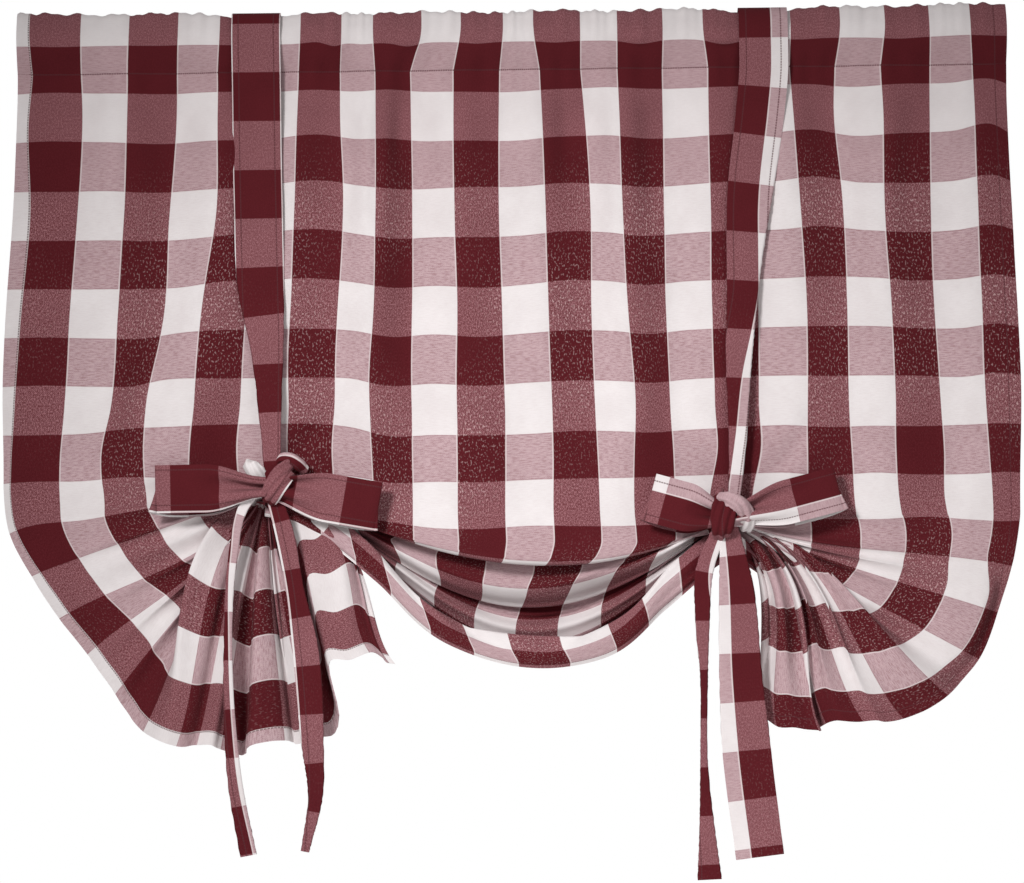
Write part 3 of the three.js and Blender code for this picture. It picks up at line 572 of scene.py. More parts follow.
# Side view of the sleeve: rows from the top fold, depth, height
POCKET_SIDE = np.array([
    (-1.41, 0, -33), (-1.1, 7.5, -18), (-0.79, 12.5, -1.3), (-0.39, 13.5, 21.5),
    (-0.247, 11, 29.5), (-0.117, 6, 34.8), (0, 0, 36.5), (0.1, -4.6, 33.4), (0.25, -9.2, 26.2),
    (0.45, -14.4, 16), (0.62, -16.8, 6.5), (0.79, -16.6, -3.2), (1.1, -12.6, -20.2),
    (1.41, -FRONT, -36.7)])
# Sideways shift of the column borders over the rod, and on some rows: row, then millimetres
ROD_SHIFT = (-1, 4, 6, 10, 6, 2, -1, -2, -13, -3, -3, 1, -9, 0, -3, 3, 2, 3, 4, 10, 9, 7, 0)
POCKET_SHIFT = np.array([(FOLD_ROW, *ROD_SHIFT), (0.35, *ROD_SHIFT), COLUMN_SHIFT[0]])
# Puffs over the rod: column, dip, half width in checks
PUFFS = [(0.9, 1.5, 0.5), (2.9, 1, 0.4), (6.65, -3, 0.28), (7.1, 5, 0.22), (8.0, 2, 0.3),
         (9.05, 7, 0.3), (10.7, 3, 0.35), (12.75, 3, 0.35), (14.8, 7, 0.4), (16.75, 9, 0.42),
         (18.5, 2, 0.4), (20.6, 3, 0.5), (22.2, -2, 0.5)]
PUFF_ROWS, PUFF_OUT, PUFF_OUT_ROWS = (0.05, 0.6, 1.05), 0.8, (0.05, 0.45, 0.95)
# Small lumps of the gathers: share, then pitch, sway and turn of a ripple
LUMPS = [(1, 0.61, 1.5, 1.7), (0.7, 0.29, 2, 2.3)]
LUMP_DEEP, LUMP_HIGH, LUMP_HEIGHTS = 0.08, 1.2, (20, 36)
# Heights of the upper sleeve in mm, and rows from the fold to the seam
UPPER_HEIGHTS, SEAM_TURNS = (-15, 36), (0.75, 1.41)
POCKET_COLUMNS, POCKET_LINES = 390, 84


def pocket_points(u, row):
    """Sleeve profile over the rows, widened by puffs and lumps and pressed under the straps."""
    turn = row - FOLD_ROW
    y, z = along_table(POCKET_SIDE, turn)
    x = column_x(u, 0 * row) + uneven(POCKET_SHIFT, DARK_COLUMN, u, row)
    upper, seam = smooth(z, *UPPER_HEIGHTS), smooth(np.abs(turn), *SEAM_TURNS)
    press = sum(np.exp(-((x - top) / POCKET["press_wide"]) ** 2) for top in STRAP_TOPS)
    sag = 1 - flute(u, *FLUTES[1][1:]) + POCKET["sag"] * np.sin(np.pi * u / WIDE)
    lumps = sum(share * ripple(u, *form) for share, *form in LUMPS) * (1 - press)
    puff = sum(dip * np.exp(-((u - place) / wide) ** 2) for place, dip, wide in PUFFS)
    y = y * (1 + LUMP_DEEP * lumps * upper) + flutes(u, 0 * row + SEAM_ROW) * seam
    y = y - PUFF_OUT * np.abs(puff) * hump(turn, *PUFF_OUT_ROWS)
    raised = LUMP_HIGH * lumps * smooth(z, *LUMP_HEIGHTS) - puff * hump(turn, *PUFF_ROWS)
    z = POCKET["centre"] + z - upper * (sag + POCKET["press"] * press) + raised
    return np.stack([x, y, z], -1)


u, row = np.meshgrid(np.linspace(0, WIDE, POCKET_COLUMNS),
                     np.linspace(2 * FOLD_ROW - SEAM_ROW, SEAM_ROW, POCKET_LINES))
pocket = cloth_piece("pocket_cloth", pocket_points(u, row), FIELD, np.stack([u, row], -1))
stand_for(pocket, "rod_pocket")

# %% [markdown]
# ## A sash as a folded strip
# A sash is a strip one check wide with stitched edges. Where it looks narrow it isn't cut
# narrower: its edges are folded behind, or it is crumpled into gathers by the knot.
# Both are profiles of the same length, carried along the middle line of the strip.
# A curve with a bevel profile could do that too, but its profile can't fold on the way.

# %% Profiles and the strip maker
# Cut width and thickness of a sash, step between folded layers and length of a turn, in mm
CUT, SASH = 57.0, 1.5
LAYER, FOLD_ROUND, MOST_FOLDS = 1.8, 2.5, 7
# Swing of a meander in radians, and the share of its length that is left as width
SWINGS = np.linspace(0, 2.1, 80)
SHRINK = np.cos(SWINGS[:, None] * np.sin(np.linspace(0, np.pi, 181))).mean(1)
SIDEWAYS = np.array([1.0, 0, 0])


def letter_fold(width, count, left):
    """Flat face of the given width; the rest goes to and fro behind it, a share from its left."""
    s = np.broadcast_to(np.linspace(0, 1, count), (len(width), count))
    hidden = np.maximum(CUT - width, 0)
    face = (s * CUT - hidden * left) / width
    back = np.clip(np.maximum(-face, face - 1), 0, None) * width
    zigzag = 1 - np.abs(1 - back / width % 2)
    p = np.where(face < 0, zigzag - 0.5, np.where(face > 1, 0.5 - zigzag, face - 0.5)) * width
    turns = sum(smooth(back, k * width, k * width + FOLD_ROUND) for k in range(MOST_FOLDS))
    beneath = (hidden * left / width + 0.5) * smooth(back, 0, FOLD_ROUND) * (face > 1)
    return p, -LAYER * (turns + beneath)


def gather_fold(width, count, waves, phase):
    """Sine-generated meander: direction = swing sin(2 pi waves s + phase), summed along s."""
    swing = np.interp(width / CUT, SHRINK[::-1], SWINGS[::-1])
    way = swing * np.sin(2 * np.pi * waves * np.linspace(0, 1, count) + phase)
    p, q = (np.cumsum(part, 1) * CUT / (count - 1) for part in (np.cos(way), np.sin(way)))
    p -= (p.max(1, keepdims=True) + p.min(1, keepdims=True)) / 2
    p *= width / np.ptp(p, axis=1, keepdims=True)
    return p, q - q.mean(1, keepdims=True)


def run_along(points):
    """Length of a line from its start to each of its points."""
    return np.concatenate([[0], np.cumsum(np.linalg.norm(np.diff(points, axis=0), axis=1))])


def path(rows, between_rows):
    """Smooth line through rows of x, y, z and more, by the length of their chords."""
    rows = np.array(rows, float)
    run = run_along(rows[:, :3])
    share = np.linspace(0, len(rows) - 1, (len(rows) - 1) * between_rows + 1)
    return along_table(np.column_stack([run, rows]), np.interp(share, np.arange(len(rows)), run)).T


def side_of(name):
    """Side of a sash piece, from its name."""
    return name.split("_")[1]


def strip(name, centre, across, profile, columns, first_row, row_way=1):
    """Strip along a middle line: centre + across p + (across x tangent) q, checks by length."""
    p, q = profile
    tangent = np.gradient(centre, axis=0)
    tangent = tangent / np.linalg.norm(tangent, axis=1, keepdims=True)
    across = across - (across * tangent).sum(1, keepdims=True) * tangent
    across = across / np.linalg.norm(across, axis=1, keepdims=True)
    facing = np.cross(across, tangent)
    points = centre[:, None] + across[:, None] * p[..., None] + facing[:, None] * q[..., None]
    run = run_along(centre)
    u, row = np.meshgrid(np.linspace(*columns, p.shape[1]), first_row + row_way * run / CHECK)
    piece = cloth_piece(name, points, SASH, np.stack([u, row], -1))
    stand_for(piece, "sash_" + side_of(name))
    return piece


def by_side(make, table):
    """Pieces of each sash, one for each row of a table that starts with a name."""
    return {side: [make(*row) for row in table if side_of(row[0]) == side] for side in KNOTS}


print("a strip gathered to half its width swings by", np.interp(-0.5, -SHRINK, SWINGS).round(2))

# %% [markdown]
# ## Straps
# From its knot a sash goes up the front, flat and almost as wide as a check, over the pocket
# and down the back, where it goes behind the gathers. Towards the knot its edges fold behind.
# A straight band would hide the folds, so each row of the table has its own width.

# %% Straps
# The way over the pocket and down the back, in mm
STRAP_OVER = dict(rows=10, depth=21.0, height=33.5)
STRAP_BACK = dict(rows=5, above=6.0, width=20.0, depth=30.0)
STRAP_COLUMNS = dict(left=(0.27, 1.31), right=(0.64, 1.64))
STRAP_STEPS, STRAP_LINES = 10, 52
# Rows up the front: x, y, z, visible width, share of the hidden cloth folded at its left
LEFT_FRONT = [
    (-280, -24, -512, 17, 0.85), (-283, -16, -419, 28, 0.85), (-286, -12, -349, 40, 0.85),
    (-291, -9, -302, 52, 0.85), (-294, -8, -184, 57, 0.85), (-294, -18, -40, 57, 0.85)]
RIGHT_FRONT = [
    (258, -24, -546, 13, 0.89), (264, -17, -472, 20, 0.82), (266, -13, -390, 29, 0.62),
    (269, -11, -340, 33, 0.3), (272, -10, -296, 37, 0.02), (281, -9, -191, 52, 0.1),
    (295, -13, -85, 57, 0.5), (299, -18.5, -40, 57, 0.5)]
# Name, rows up the front, row of the check at the height of the rod
STRAPS = [("sash_left_strap", LEFT_FRONT, 0.04), ("sash_right_strap", RIGHT_FRONT, -0.37)]


def strap(name, front, row_at_rod):
    """Front rows, half an oval over the pocket, and straight rows down the back."""
    side = side_of(name)
    x, _, _, width, left = front[-1]
    turn = np.linspace(0, np.pi, STRAP_OVER["rows"] + 1)
    over = np.column_stack([np.full_like(turn, x), -STRAP_OVER["depth"] * np.cos(turn),
                            POCKET["centre"] + STRAP_OVER["height"] * np.sin(turn),
                            np.full_like(turn, width), np.full_like(turn, left)])
    t = np.linspace(0, 1, STRAP_BACK["rows"] + 1)[1:]
    back = np.column_stack([between(x, KNOTS[side][0], t),
                            between(STRAP_OVER["depth"], STRAP_BACK["depth"], t),
                            between(POCKET["centre"], KNOTS[side][1] + STRAP_BACK["above"], t),
                            between(width, STRAP_BACK["width"], t ** 3), np.full_like(t, left)])
    line = path(np.vstack([front, over, back]), STRAP_STEPS)
    centre = line[:, :3]
    width, left = np.minimum(line[:, 3:4], CUT), np.clip(line[:, 4:5], 0, 1)
    profile = letter_fold(width, STRAP_LINES, left)
    rod = np.argmin(np.where(centre[:, 1] > 0, np.inf, np.abs(centre[:, 2])))
    first_row = row_at_rod + run_along(centre)[rod] / CHECK
    return strip(name, centre, SIDEWAYS, profile, STRAP_COLUMNS[side], first_row, -1)


straps = by_side(strap, STRAPS)

# %% [markdown]
# ## Loops
# A loop of a bow goes out, turns at its tip and comes back behind itself, a little lower.
# It is gathered by the knot and opens to its full width half way out. Two flat pieces would
# look the same from the front, but a ring also looks right from the side.

# %% Loops
BOW_KNOTS = dict(left=(-287, -521), right=(249, -563))
# Depth of both layers, roundness of the tip, then shares of the reach or of the way home
LOOP = dict(front=-36.0, back=-20.0, round=1.6, opens=0.55, flat=(0.45, 0.85), droops=(0.5, 1))
LOOP_GATHERS, LOOP_GATHERS_DRIFT = 1.6, 0.8
LOOP_STEPS, LOOP_LINES = 90, 40
# Name, tip, width at the knot, full width, columns, first row, droop, phase of the gathers
LOOPS = [
    ("sash_left_loop_a", (-416, -522), 22, 56, (0.25, 1.27), -0.28, 8, 0.4),
    ("sash_left_loop_b", (-157, -545), 24, 57, (0.25, 1.27), -0.92, 4, 2.0),
    ("sash_right_loop_a", (161, -538), 24, 57, (0.64, 1.64), 0.35, 5, 1.0),
    ("sash_right_loop_b", (380, -530), 22, 52, (1.64, 0.64), -0.76, 6, 2.6)]


def loop(name, tip, root, width, columns, first_row, droop, phase):
    """Flat ring: reach sin(t)^(1/round) towards the tip, depth from the front to the back layer."""
    turn = np.linspace(0, np.pi, LOOP_STEPS)[:, None]
    reach = np.clip(np.sin(turn), 0, 1) ** (1 / LOOP["round"])
    home = (1 - np.cos(turn)) / 2
    knot = BOW_KNOTS[side_of(name)]
    out = np.array(tip) - np.array(knot)
    centre = np.hstack([knot[0] + out[0] * reach, between(LOOP["front"], LOOP["back"], home),
                        knot[1] + out[1] * reach - droop * smooth(home, *LOOP["droops"]) * reach])
    across = np.array([-out[1], 0, out[0]]) * np.sign(out[0]) / np.hypot(*out)
    wide = between(root, width, smooth(reach, 0, LOOP["opens"]))
    p, q = gather_fold(wide, LOOP_LINES, LOOP_GATHERS, phase + LOOP_GATHERS_DRIFT * home)
    return strip(name, centre, across, (p, q * fade(reach, *LOOP["flat"])), columns, first_row)


loops = by_side(loop, LOOPS)

# %% [markdown]
# ## Hanging ends
# Below the knot the two ends of a sash fall straight down. They are folded tightly at the knot
# and open towards their cut ends. Like the straps they are strips of changing width, so that
# the checks run on unbroken from the knot.

# %% Hanging ends
END_STEPS, END_LINES = 16, 60
# Name, columns, first row, then rows of the middle line: x, y, z, visible width, share folded left
HANGING_ENDS = [
    ("sash_left_end_a", (0.55, 1.57), 0.08, [
        (-300, -26, -524, 12, 0.93), (-315, -26, -546, 11, 0.9), (-327, -26, -600, 10, 0.84),
        (-334, -27, -700, 9, 0.76), (-333, -27, -794, 13, 0.75), (-328, -26, -864, 16, 0.74),
        (-313, -25, -951, 19, 0.7)]),
    ("sash_left_end_b", (0.25, 1.27), 1.07, [
        (-280, -26, -528, 17, 0), (-269, -27, -566, 21, 0), (-255, -27, -642, 21, 0),
        (-245, -27, -701, 29, 0), (-237, -27, -818, 26, 0.05), (-234, -26, -880, 17, 0.2),
        (-247, -25, -947, 9, 0.1)]),
    ("sash_right_end_a", (0.64, 1.64), -0.33, [
        (243, -26, -572, 16, 0.67), (223, -27, -624, 20, 0.6), (220, -27, -683, 16, 0.4),
        (221, -27, -753, 8, 0.3), (220, -26, -847, 8, 0.3), (223, -25, -935, 19, 0.2),
        (225, -24, -985, 28, 0.12)]),
    ("sash_right_end_b", (1.96, 2.96), 0.06, [
        (252, -26, -572, 20, 0.4), (259, -29, -636, 38, 0.4), (264, -29, -754, 50, 0.5),
        (270, -27, -838, 57, 0.5), (284, -26, -959, 56, 0.5)])]


def hanging_end(name, columns, first_row, rows):
    """Folded strip down a table of places, its hidden cloth behind it."""
    line = path(rows, END_STEPS)
    width, left = np.minimum(line[:, 3:4], CUT), np.clip(line[:, 4:5], 0, 1)
    p, q = letter_fold(width, END_LINES, left)
    return strip(name, line[:, :3], SIDEWAYS, (p, -q), columns, first_row)


ends = by_side(hanging_end, HANGING_ENDS)

# %% [markdown]
# ## Knots
# The middle of a bow is the sash itself, wrapped round the crossing and pulled tight. On the
# left, two small tucks of cloth look out above the wrap, and on the right it has a second turn.
# Each is a short folded strip on a line of its own, with a few dents pressed into its face.

# %% Knots
# Dents of a wrap, its rounding, and the depth above which a layer is its face, in mm
KNOT_DENT = dict(depth=1.1, pitch=9.0, drift=0.03)
KNOT_ROUND, FACE_LAYER = 3.5, -0.2
KNOT_STEPS, KNOT_LINES = 10, 52
# Name, columns, first row, then rows of the middle line: x, y, z, visible width, share folded left
KNOT_WRAPS = [
    ("sash_left_knot", (0.3, 1.32), 1.5, [
        (-254, -20, -498, 16, 1), (-259, -34, -499, 22, 1), (-266, -43, -506, 26, 1),
        (-275, -46, -518, 26, 1), (-282, -43, -530, 24, 1), (-287, -32, -538, 22, 1),
        (-287, -12, -538, 20, 1)]),
    ("sash_left_tuck_a", (1.4, 2.4), 1.85, [
        (-284, -18, -518, 10, 0.5), (-292, -25, -510, 17, 0.5), (-300, -29, -502, 20, 0.5),
        (-307, -27, -494, 17, 0.5), (-309, -17, -489, 12, 0.5)]),
    ("sash_left_tuck_b", (0.55, 1.55), 0.9, [
        (-277, -19, -497, 10, 0.74), (-270, -25, -489, 13, 0.74), (-260, -28, -489, 15, 0.74),
        (-250, -27, -495, 15, 0.74), (-241, -20, -504, 12, 0.74)]),
    ("sash_right_knot", (0.31, 1.27), 0.35, [
        (250, -12, -536, 24, 0.5), (248, -34, -539, 26, 0.5), (246, -46, -549, 28, 0.5),
        (244, -48, -563, 28, 0.5), (244, -45, -577, 26, 0.5), (245, -32, -586, 22, 0.5),
        (246, -12, -588, 20, 0.5)]),
    ("sash_right_knot_band", (1.4, 2.36), 0.7, [
        (238, -39, -540, 14, 0.5), (250, -48, -541, 17, 0.5), (263, -50, -547, 19, 0.5),
        (271, -45, -557, 19, 0.5), (273, -36, -569, 17, 0.5), (270, -20, -579, 15, 0.5)])]


def knot_wrap(name, columns, first_row, rows):
    """Folded strip along a line, its width square to the line as seen from the front."""
    line = path(rows, KNOT_STEPS)
    way = np.gradient(line[:, :3], axis=0)
    across = np.column_stack([-way[:, 2], 0 * way[:, 1], way[:, 0]])
    width = line[:, 3:4]
    p, q = letter_fold(width, KNOT_LINES, np.clip(line[:, 4:5], 0, 1))
    turns = p / KNOT_DENT["pitch"] + KNOT_DENT["drift"] * np.arange(len(line))[:, None]
    dent = KNOT_DENT["depth"] * np.sin(2 * np.pi * turns)
    q = q + np.where(q > FACE_LAYER, dent, 0) - KNOT_ROUND * (2 * p / width) ** 2
    return strip(name, line[:, :3], across, (p, -q), columns, first_row)


knots = by_side(knot_wrap, KNOT_WRAPS)

# %% [markdown]
# ## Shader sums
# A weave is arithmetic on the column and the row. Writing each sum as a chain of nodes is hard
# to read, so a small class wraps a socket: adding or comparing two of them adds the Math node.


# %% Socket class
class Sum:
    """A socket of a node tree that can be used in Python expressions."""

    def __init__(self, tree, socket):
        self.tree, self.socket = tree, socket

    @classmethod
    def node(cls, tree, kind, settings=None, out=0, **values):
        """Output of any new node: its type, settings first, then the values or links of sockets."""
        made = tree.nodes.new(kind)
        for name, value in (settings or {}).items():
            setattr(made, name, value)
        for name, value in values.items():
            key = int(name[1:]) if name.startswith("_") else name.replace("_", " ")
            if isinstance(value, cls):
                tree.links.new(value.socket, made.inputs[key])
            else:
                made.inputs[key].default_value = value
        return cls(tree, made.outputs[out])

    def feed(self, socket):
        """Link this value to a socket of a shader."""
        self.tree.links.new(self.socket, socket)

    def math(self, operation, *others):
        """Math node with this value first."""
        values = {f"_{n}": value for n, value in enumerate((self, *others))}
        return Sum.node(self.tree, "ShaderNodeMath", {"operation": operation}, **values)

    def __add__(self, other):
        return self.math("ADD", other)

    def __sub__(self, other):
        return self.math("SUBTRACT", other)

    def __mul__(self, other):
        return self.math("MULTIPLY", other)

    def __lt__(self, other):
        return self.math("LESS_THAN", other)

    def __rsub__(self, other):
        return self * -1 + other

    __radd__, __rmul__ = __add__, __mul__

    def step(self, low, high):
        """Soft step from 0 at low to 1 at high."""
        return Sum.node(self.tree, "ShaderNodeMapRange", {"interpolation_type": "SMOOTHSTEP"},
                        Value=self, From_Min=low, From_Max=high)

    def mix(self, first, second):
        """Colour between two colours, by this factor."""
        return Sum.node(self.tree, "ShaderNodeMix", {"data_type": "RGBA"}, 2, Factor=self,
                        _6=first, _7=second)

    def parts(self):
        """X and Y of a vector."""
        split = Sum.node(self.tree, "ShaderNodeSeparateXYZ", Vector=self).socket.node
        return [Sum(self.tree, split.outputs[axis]) for axis in "XY"]


# %% [markdown]
# ## Checked cotton
# Dark and white yarns run both ways. A picture of cloth could be wrapped round the folds, but
# here each thread is drawn, with slubs and pale flecks, so the mixed checks look heathered at
# any distance.

# %% Weave
# Darker and lighter yarn of each kind of check, pale selvedge of a pink one, fleck
BURGUNDY = (0.090, 0.0080, 0.0120, 1), (0.116, 0.0140, 0.0195, 1)
MIXED_DARK = (0.16, 0.042, 0.049, 1), (0.385, 0.172, 0.192, 1)
MIXED_PALE = (0.38, 0.218, 0.236, 1), (0.60, 0.432, 0.454, 1)
WHITE = (0.80, 0.735, 0.735, 1), (0.85, 0.795, 0.795, 1)
PALE_EDGE = (0.76, 0.65, 0.65, 1)
FLECK = (0.62, 0.42, 0.42, 1)
# Threads, streaks of the yarns and flecks, all counted in a check: across, then down
THREADS = 52.0
WARP_STREAKS, WEFT_STREAKS, FLECKS, FLECK_PATCHES = (44, 27), (7, 48), (27, 17), (0.22, 0.25)
# Rows and columns over which the calm cloth turns heathered, and the contrast where it is calm
CALM_ROWS, CALM_COLUMNS, CALM = (2.2, 4.5), (1.2, 3.4), 0.5
# Soft steps: edge of a dark stripe, borders of the checks, yarns that show, flecks
STRIPE_EDGE, BORDER, LEDGE = (0.2465, 0.2535), (0.466, 0.478), (0.472, 0.484)
WARP_SHOWS, WEFT_SHOWS = (0.36, 0.72), (0.3, 0.62)
PATCH_SHOWS, FLECK_SHOWS = (0.3, 0.6), (0.6, 0.7)
# Shares of the yarns and of the weave in a warp thread, in a weft thread and in the relief
UP = dict(weave=0.1, middle=0.45)
FLAT = dict(weft=0.7, warp=0.3, weave=0.08, ledge=0.12, middle=0.5, contrast=0.8)
RELIEF = dict(weave=0.5, yarn=0.6)
# Strength of the pale selvedges and of the flecks, and the place of the flecks
EDGE_PALE = 0.8
SPECK = dict(strong=0.75, less_on_weft=0.35, least=0.25, patch_from=3.1, fleck_from=9)


def noise(u, row, detail=2.0):
    """Soft noise at a place of the flat cloth."""
    place = Sum.node(u.tree, "ShaderNodeCombineXYZ", X=u, Y=row)
    return Sum.node(u.tree, "ShaderNodeTexNoise", {"noise_dimensions": "2D"}, Scale=1.0,
                    Detail=detail, Vector=place)


def dark_yarns(place, first):
    """1 on the dark half of every two checks: distance from its middle, with a soft edge."""
    phase = ((place - first) * 0.5).math("FRACT")
    return 1 - (phase - 0.25).math("ABSOLUTE").step(*STRIPE_EDGE)


def borders(place, first, edge):
    """1 on the borders of the checks: distance from the middle of each, as a soft step."""
    return ((place - first).math("FRACT") - 0.5).math("ABSOLUTE").step(*edge)


def woven(u, row, flecked):
    """Colour of the cloth, its relief, and the streaks of its warp."""
    warp, weft = dark_yarns(u, DARK_COLUMN), dark_yarns(row, DARK_ROW)
    warp_streak = noise(u * WARP_STREAKS[0], row * WARP_STREAKS[1])
    weft_streak = noise(u * WEFT_STREAKS[0], row * WEFT_STREAKS[1])
    weave = (u * (np.pi * THREADS)).math("SINE") * (row * (np.pi * THREADS)).math("SINE")
    border, ledge = borders(u, DARK_COLUMN, BORDER), borders(row, DARK_ROW, LEDGE)
    calm = CALM + row.step(*CALM_ROWS) * ((1 - CALM) * flecked)
    up = (warp_streak + weave * UP["weave"]).step(*WARP_SHOWS)
    up = (up - UP["middle"]) * calm + UP["middle"]
    flat = weft_streak * FLAT["weft"] + warp_streak * FLAT["warp"] - weave * FLAT["weave"]
    flat = (flat - ledge * FLAT["ledge"]).step(*WEFT_SHOWS)
    flat = (flat - FLAT["middle"]) * (calm * FLAT["contrast"]) + FLAT["middle"]
    crossed = weft.mix(up.mix(*MIXED_DARK), up.mix(*BURGUNDY))
    pale = (border * EDGE_PALE).mix(flat.mix(*MIXED_PALE), PALE_EDGE)
    cloth = warp.mix(weft.mix(flat.mix(*WHITE), pale), crossed)
    patch = noise(u * FLECK_PATCHES[0] + SPECK["patch_from"], row * FLECK_PATCHES[1], 1.0)
    patch = patch.step(*PATCH_SHOWS) * row.step(*CALM_ROWS) * flecked
    patch = patch * (SPECK["least"] + (1 - SPECK["least"]) * u.step(*CALM_COLUMNS))
    speck = noise(u * FLECKS[0] + SPECK["fleck_from"], row * FLECKS[1], 1.5)
    speck = speck.step(*FLECK_SHOWS) * patch * warp
    cloth = (speck * (SPECK["strong"] - SPECK["less_on_weft"] * weft)).mix(cloth, FLECK)
    relief = weave.math("ABSOLUTE") * RELIEF["weave"]
    relief = relief + warp_streak * RELIEF["yarn"] + weft_streak * RELIEF["yarn"]
    return cloth, relief, warp_streak


print("threads a centimetre:", round(THREADS / CHECK * 10))

# %% [markdown]
# ## Topstitching and finish
# Every hem is held by a row of stitches in a darker thread, and it dents the cloth. Stitches
# could be small tubes, but there are thousands, so they are dashes along a line of the weave.
# Cotton is matt, with a trace of fuzz, and never quite evenly clean.

# %% Cotton material
STITCH = (0.10, 0.03, 0.035, 1)
# Stitches in a check, share of a stitch that shows, half width and core of the line, strength
STITCHES, STITCH_LONG, STITCH_WIDE, STITCH_CORE = 19, 0.8, 0.02, 0.35
STITCH_SHOWS, STITCH_DENT = 0.75, 1.2
# Colour factors of worn and clean cloth, patches a check, their detail and soft step
WORN, CLEAN = (0.93, 0.92, 0.92, 1), (1, 1, 1, 1)
WEAR = dict(patches=1.3, detail=3.0, step=(0.2, 0.8))
ROUGH, ROUGH_STREAK = 0.86, 0.2
COTTON = {"Specular IOR Level": 0.1, "Sheen Weight": 0.03, "Sheen Roughness": 0.5}


def topstitch(across, along, place):
    """Dashes along a line at a place: near the line, and on for most of each stitch."""
    line = 1 - (across - place).math("ABSOLUTE").step(STITCH_CORE * STITCH_WIDE, STITCH_WIDE)
    return line * ((along * STITCHES).math("FRACT") < STITCH_LONG)


def checked_cotton(name, stitch_columns, stitch_rows, flecked):
    """Material of woven check with topstitching along the given columns and rows, in checks."""
    material = bpy.data.materials.new(name)
    material.use_nodes = True
    tree = material.node_tree
    shader = tree.nodes["Principled BSDF"].inputs
    place = Sum.node(tree, "ShaderNodeUVMap", {"uv_map": "checks"})
    u, row = (part * UV_CHECKS for part in place.parts())
    cloth, relief, streak = woven(u, row, flecked)
    lines = [topstitch(u, row, column) for column in stitch_columns]
    lines += [topstitch(row, u, line) for line in stitch_rows]
    stitches = sum(lines[1:], lines[0])
    cloth = (stitches.math("MINIMUM", 1.0) * STITCH_SHOWS).mix(cloth, STITCH)
    wear = noise(u * WEAR["patches"], row * WEAR["patches"], WEAR["detail"])
    wear = wear.step(*WEAR["step"]).mix(WORN, CLEAN)
    worn = Sum.node(tree, "ShaderNodeMix", {"data_type": "RGBA", "blend_type": "MULTIPLY"}, 2,
                    Factor=1.0, _6=cloth, _7=wear)
    worn.feed(shader["Base Color"])
    (ROUGH + (streak - 0.5) * ROUGH_STREAK).feed(shader["Roughness"])
    bump = Sum.node(tree, "ShaderNodeBump", Strength=0.25, Distance=0.0006,
                    Height=relief - stitches * STITCH_DENT)
    bump.feed(shader["Normal"])
    for socket, value in COTTON.items():
        shader[socket].default_value = value
    print(name, len(tree.nodes), "nodes")
    return material


# %% [markdown]
# ## Dress the pieces
# All pieces are cut from one bolt, but each has its stitches elsewhere: along the hems of the
# panel, on the seam of the pocket, and close to both edges of a sash. So there are four
# materials from one function. The sashes are crisper, with hardly any flecks.

# %% Dress the pieces
EDGE, SEAM_ABOVE = 0.145, 0.02
SASH_FLECKS = 0.25
panel.data.materials.append(checked_cotton(
    "panel cotton", (SIDE_HEM, WIDE - SIDE_HEM), (LONG - BOTTOM_HEM,), 1.0))
pocket.data.materials.append(checked_cotton(
    "pocket cotton", (SIDE_HEM, WIDE - SIDE_HEM), (SEAM_ROW - SEAM_ABOVE,), 1.0))
for side, (first, last) in STRAP_COLUMNS.items():
    cotton = checked_cotton(side + " sash cotton", (first + EDGE, last - EDGE), (), SASH_FLECKS)
    for piece in [*straps[side], *loops[side], *ends[side], *knots[side]]:
        piece.data.materials.append(cotton)

# %% [markdown]
# ## Lamps
# A soft spot lamp from the upper left in front draws the flutes and pleats, and is brightest a
# little below the middle. A weak, large lamp at the right keeps the shadows open, and one
# behind lights the back for other views. A sun lamp would be simpler, but its shadows are hard.


# %% Lamps
def lamp(name, kind, place, aim, power, **settings):
    """Lamp of a kind that points from its place to its aim."""
    light = bpy.data.lights.new(name, kind)
    light.energy = power
    for setting, value in settings.items():
        setattr(light, setting, value)
    made = bpy.data.objects.new(name, light)
    made.location = place
    way = np.array(aim) - np.array(place)
    made.rotation_euler = (np.arctan2(np.hypot(way[0], way[1]), -way[2]), 0,
                           np.arctan2(way[1], way[0]) - np.pi / 2)
    made.visible_camera = False
    bpy.context.collection.objects.link(made)
    print(name, "lamp of", power, "watts")


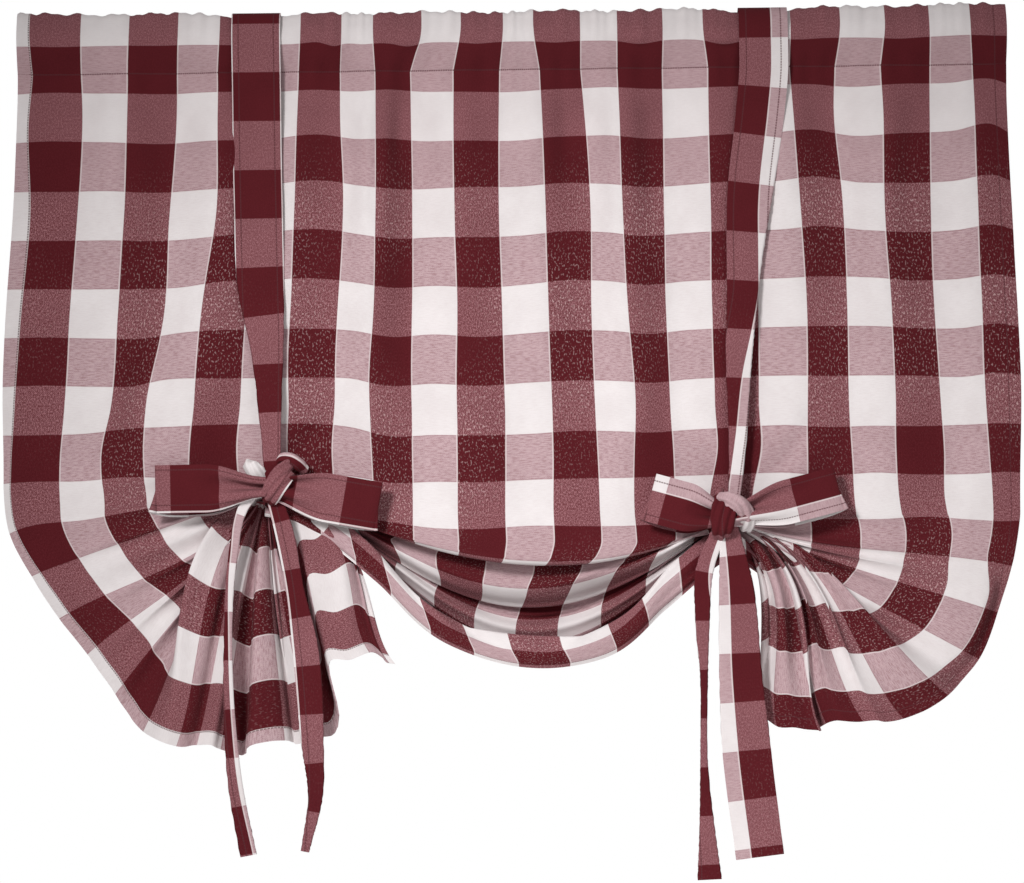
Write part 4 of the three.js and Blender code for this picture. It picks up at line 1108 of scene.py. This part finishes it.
MIDDLE = (0.02, 0, -0.45)
lamp("key", "SPOT", (-1.4, -3.1, 0.9), (0.1, 0, -0.6), 452,
     spot_size=np.radians(30.5), spot_blend=1.0, shadow_soft_size=0.4)
lamp("fill", "AREA", (1.6, -3.4, -0.2), MIDDLE, 17, size=2.0)
lamp("back", "AREA", (0.8, 3.0, 0.4), MIDDLE, 50, size=2.0)

# %% [markdown]
# ## Studio and floor
# The studio is white all round. Seen directly it is full white, and as a light it is much
# weaker, because light from everywhere would wash out the folds. The floor is a pale disc just
# under the hanging ends, large enough for their shadows. It belongs to the stage.

# %% Studio and floor
AMBIENT, BACKDROP = 0.25, 1.0
FLOOR = dict(height=-1.03, half=(0.95, 0.62), forward=0.34, corners=96)
FLOOR_FINISH = {"Base Color": (0.85, 0.85, 0.84, 1), "Roughness": 0.8,
                "Emission Color": (1, 1, 1, 1), "Emission Strength": 0.25}
world = bpy.data.worlds.new("studio")
bpy.context.scene.world = world
world.use_nodes = True
backdrop = world.node_tree.nodes["Background"].inputs
backdrop["Color"].default_value = (1, 1, 1, 1)
seen = Sum.node(world.node_tree, "ShaderNodeLightPath", None, "Is Camera Ray")
strength = Sum.node(world.node_tree, "ShaderNodeMapRange", Value=seen, To_Min=AMBIENT,
                    To_Max=BACKDROP)
strength.feed(backdrop["Strength"])
bpy.context.scene.view_settings.view_transform = "Standard"

turn = np.linspace(0, 2 * np.pi, FLOOR["corners"], endpoint=False)
disc = np.column_stack([FLOOR["half"][0] * np.cos(turn),
                        FLOOR["half"][1] * np.sin(turn) - FLOOR["forward"],
                        np.full_like(turn, FLOOR["height"])])
mesh = bpy.data.meshes.new("floor")
mesh.from_pydata(disc, [], [list(range(len(disc)))])
floor = bpy.data.objects.new("floor", mesh)
bpy.context.collection.objects.link(floor)
pale_floor = bpy.data.materials.new("pale floor")
pale_floor.use_nodes = True
for socket, value in FLOOR_FINISH.items():
    pale_floor.node_tree.nodes["Principled BSDF"].inputs[socket].default_value = value
mesh.materials.append(pale_floor)
print("floor in m:", 2 * FLOOR["half"][0], "by", 2 * FLOOR["half"][1])
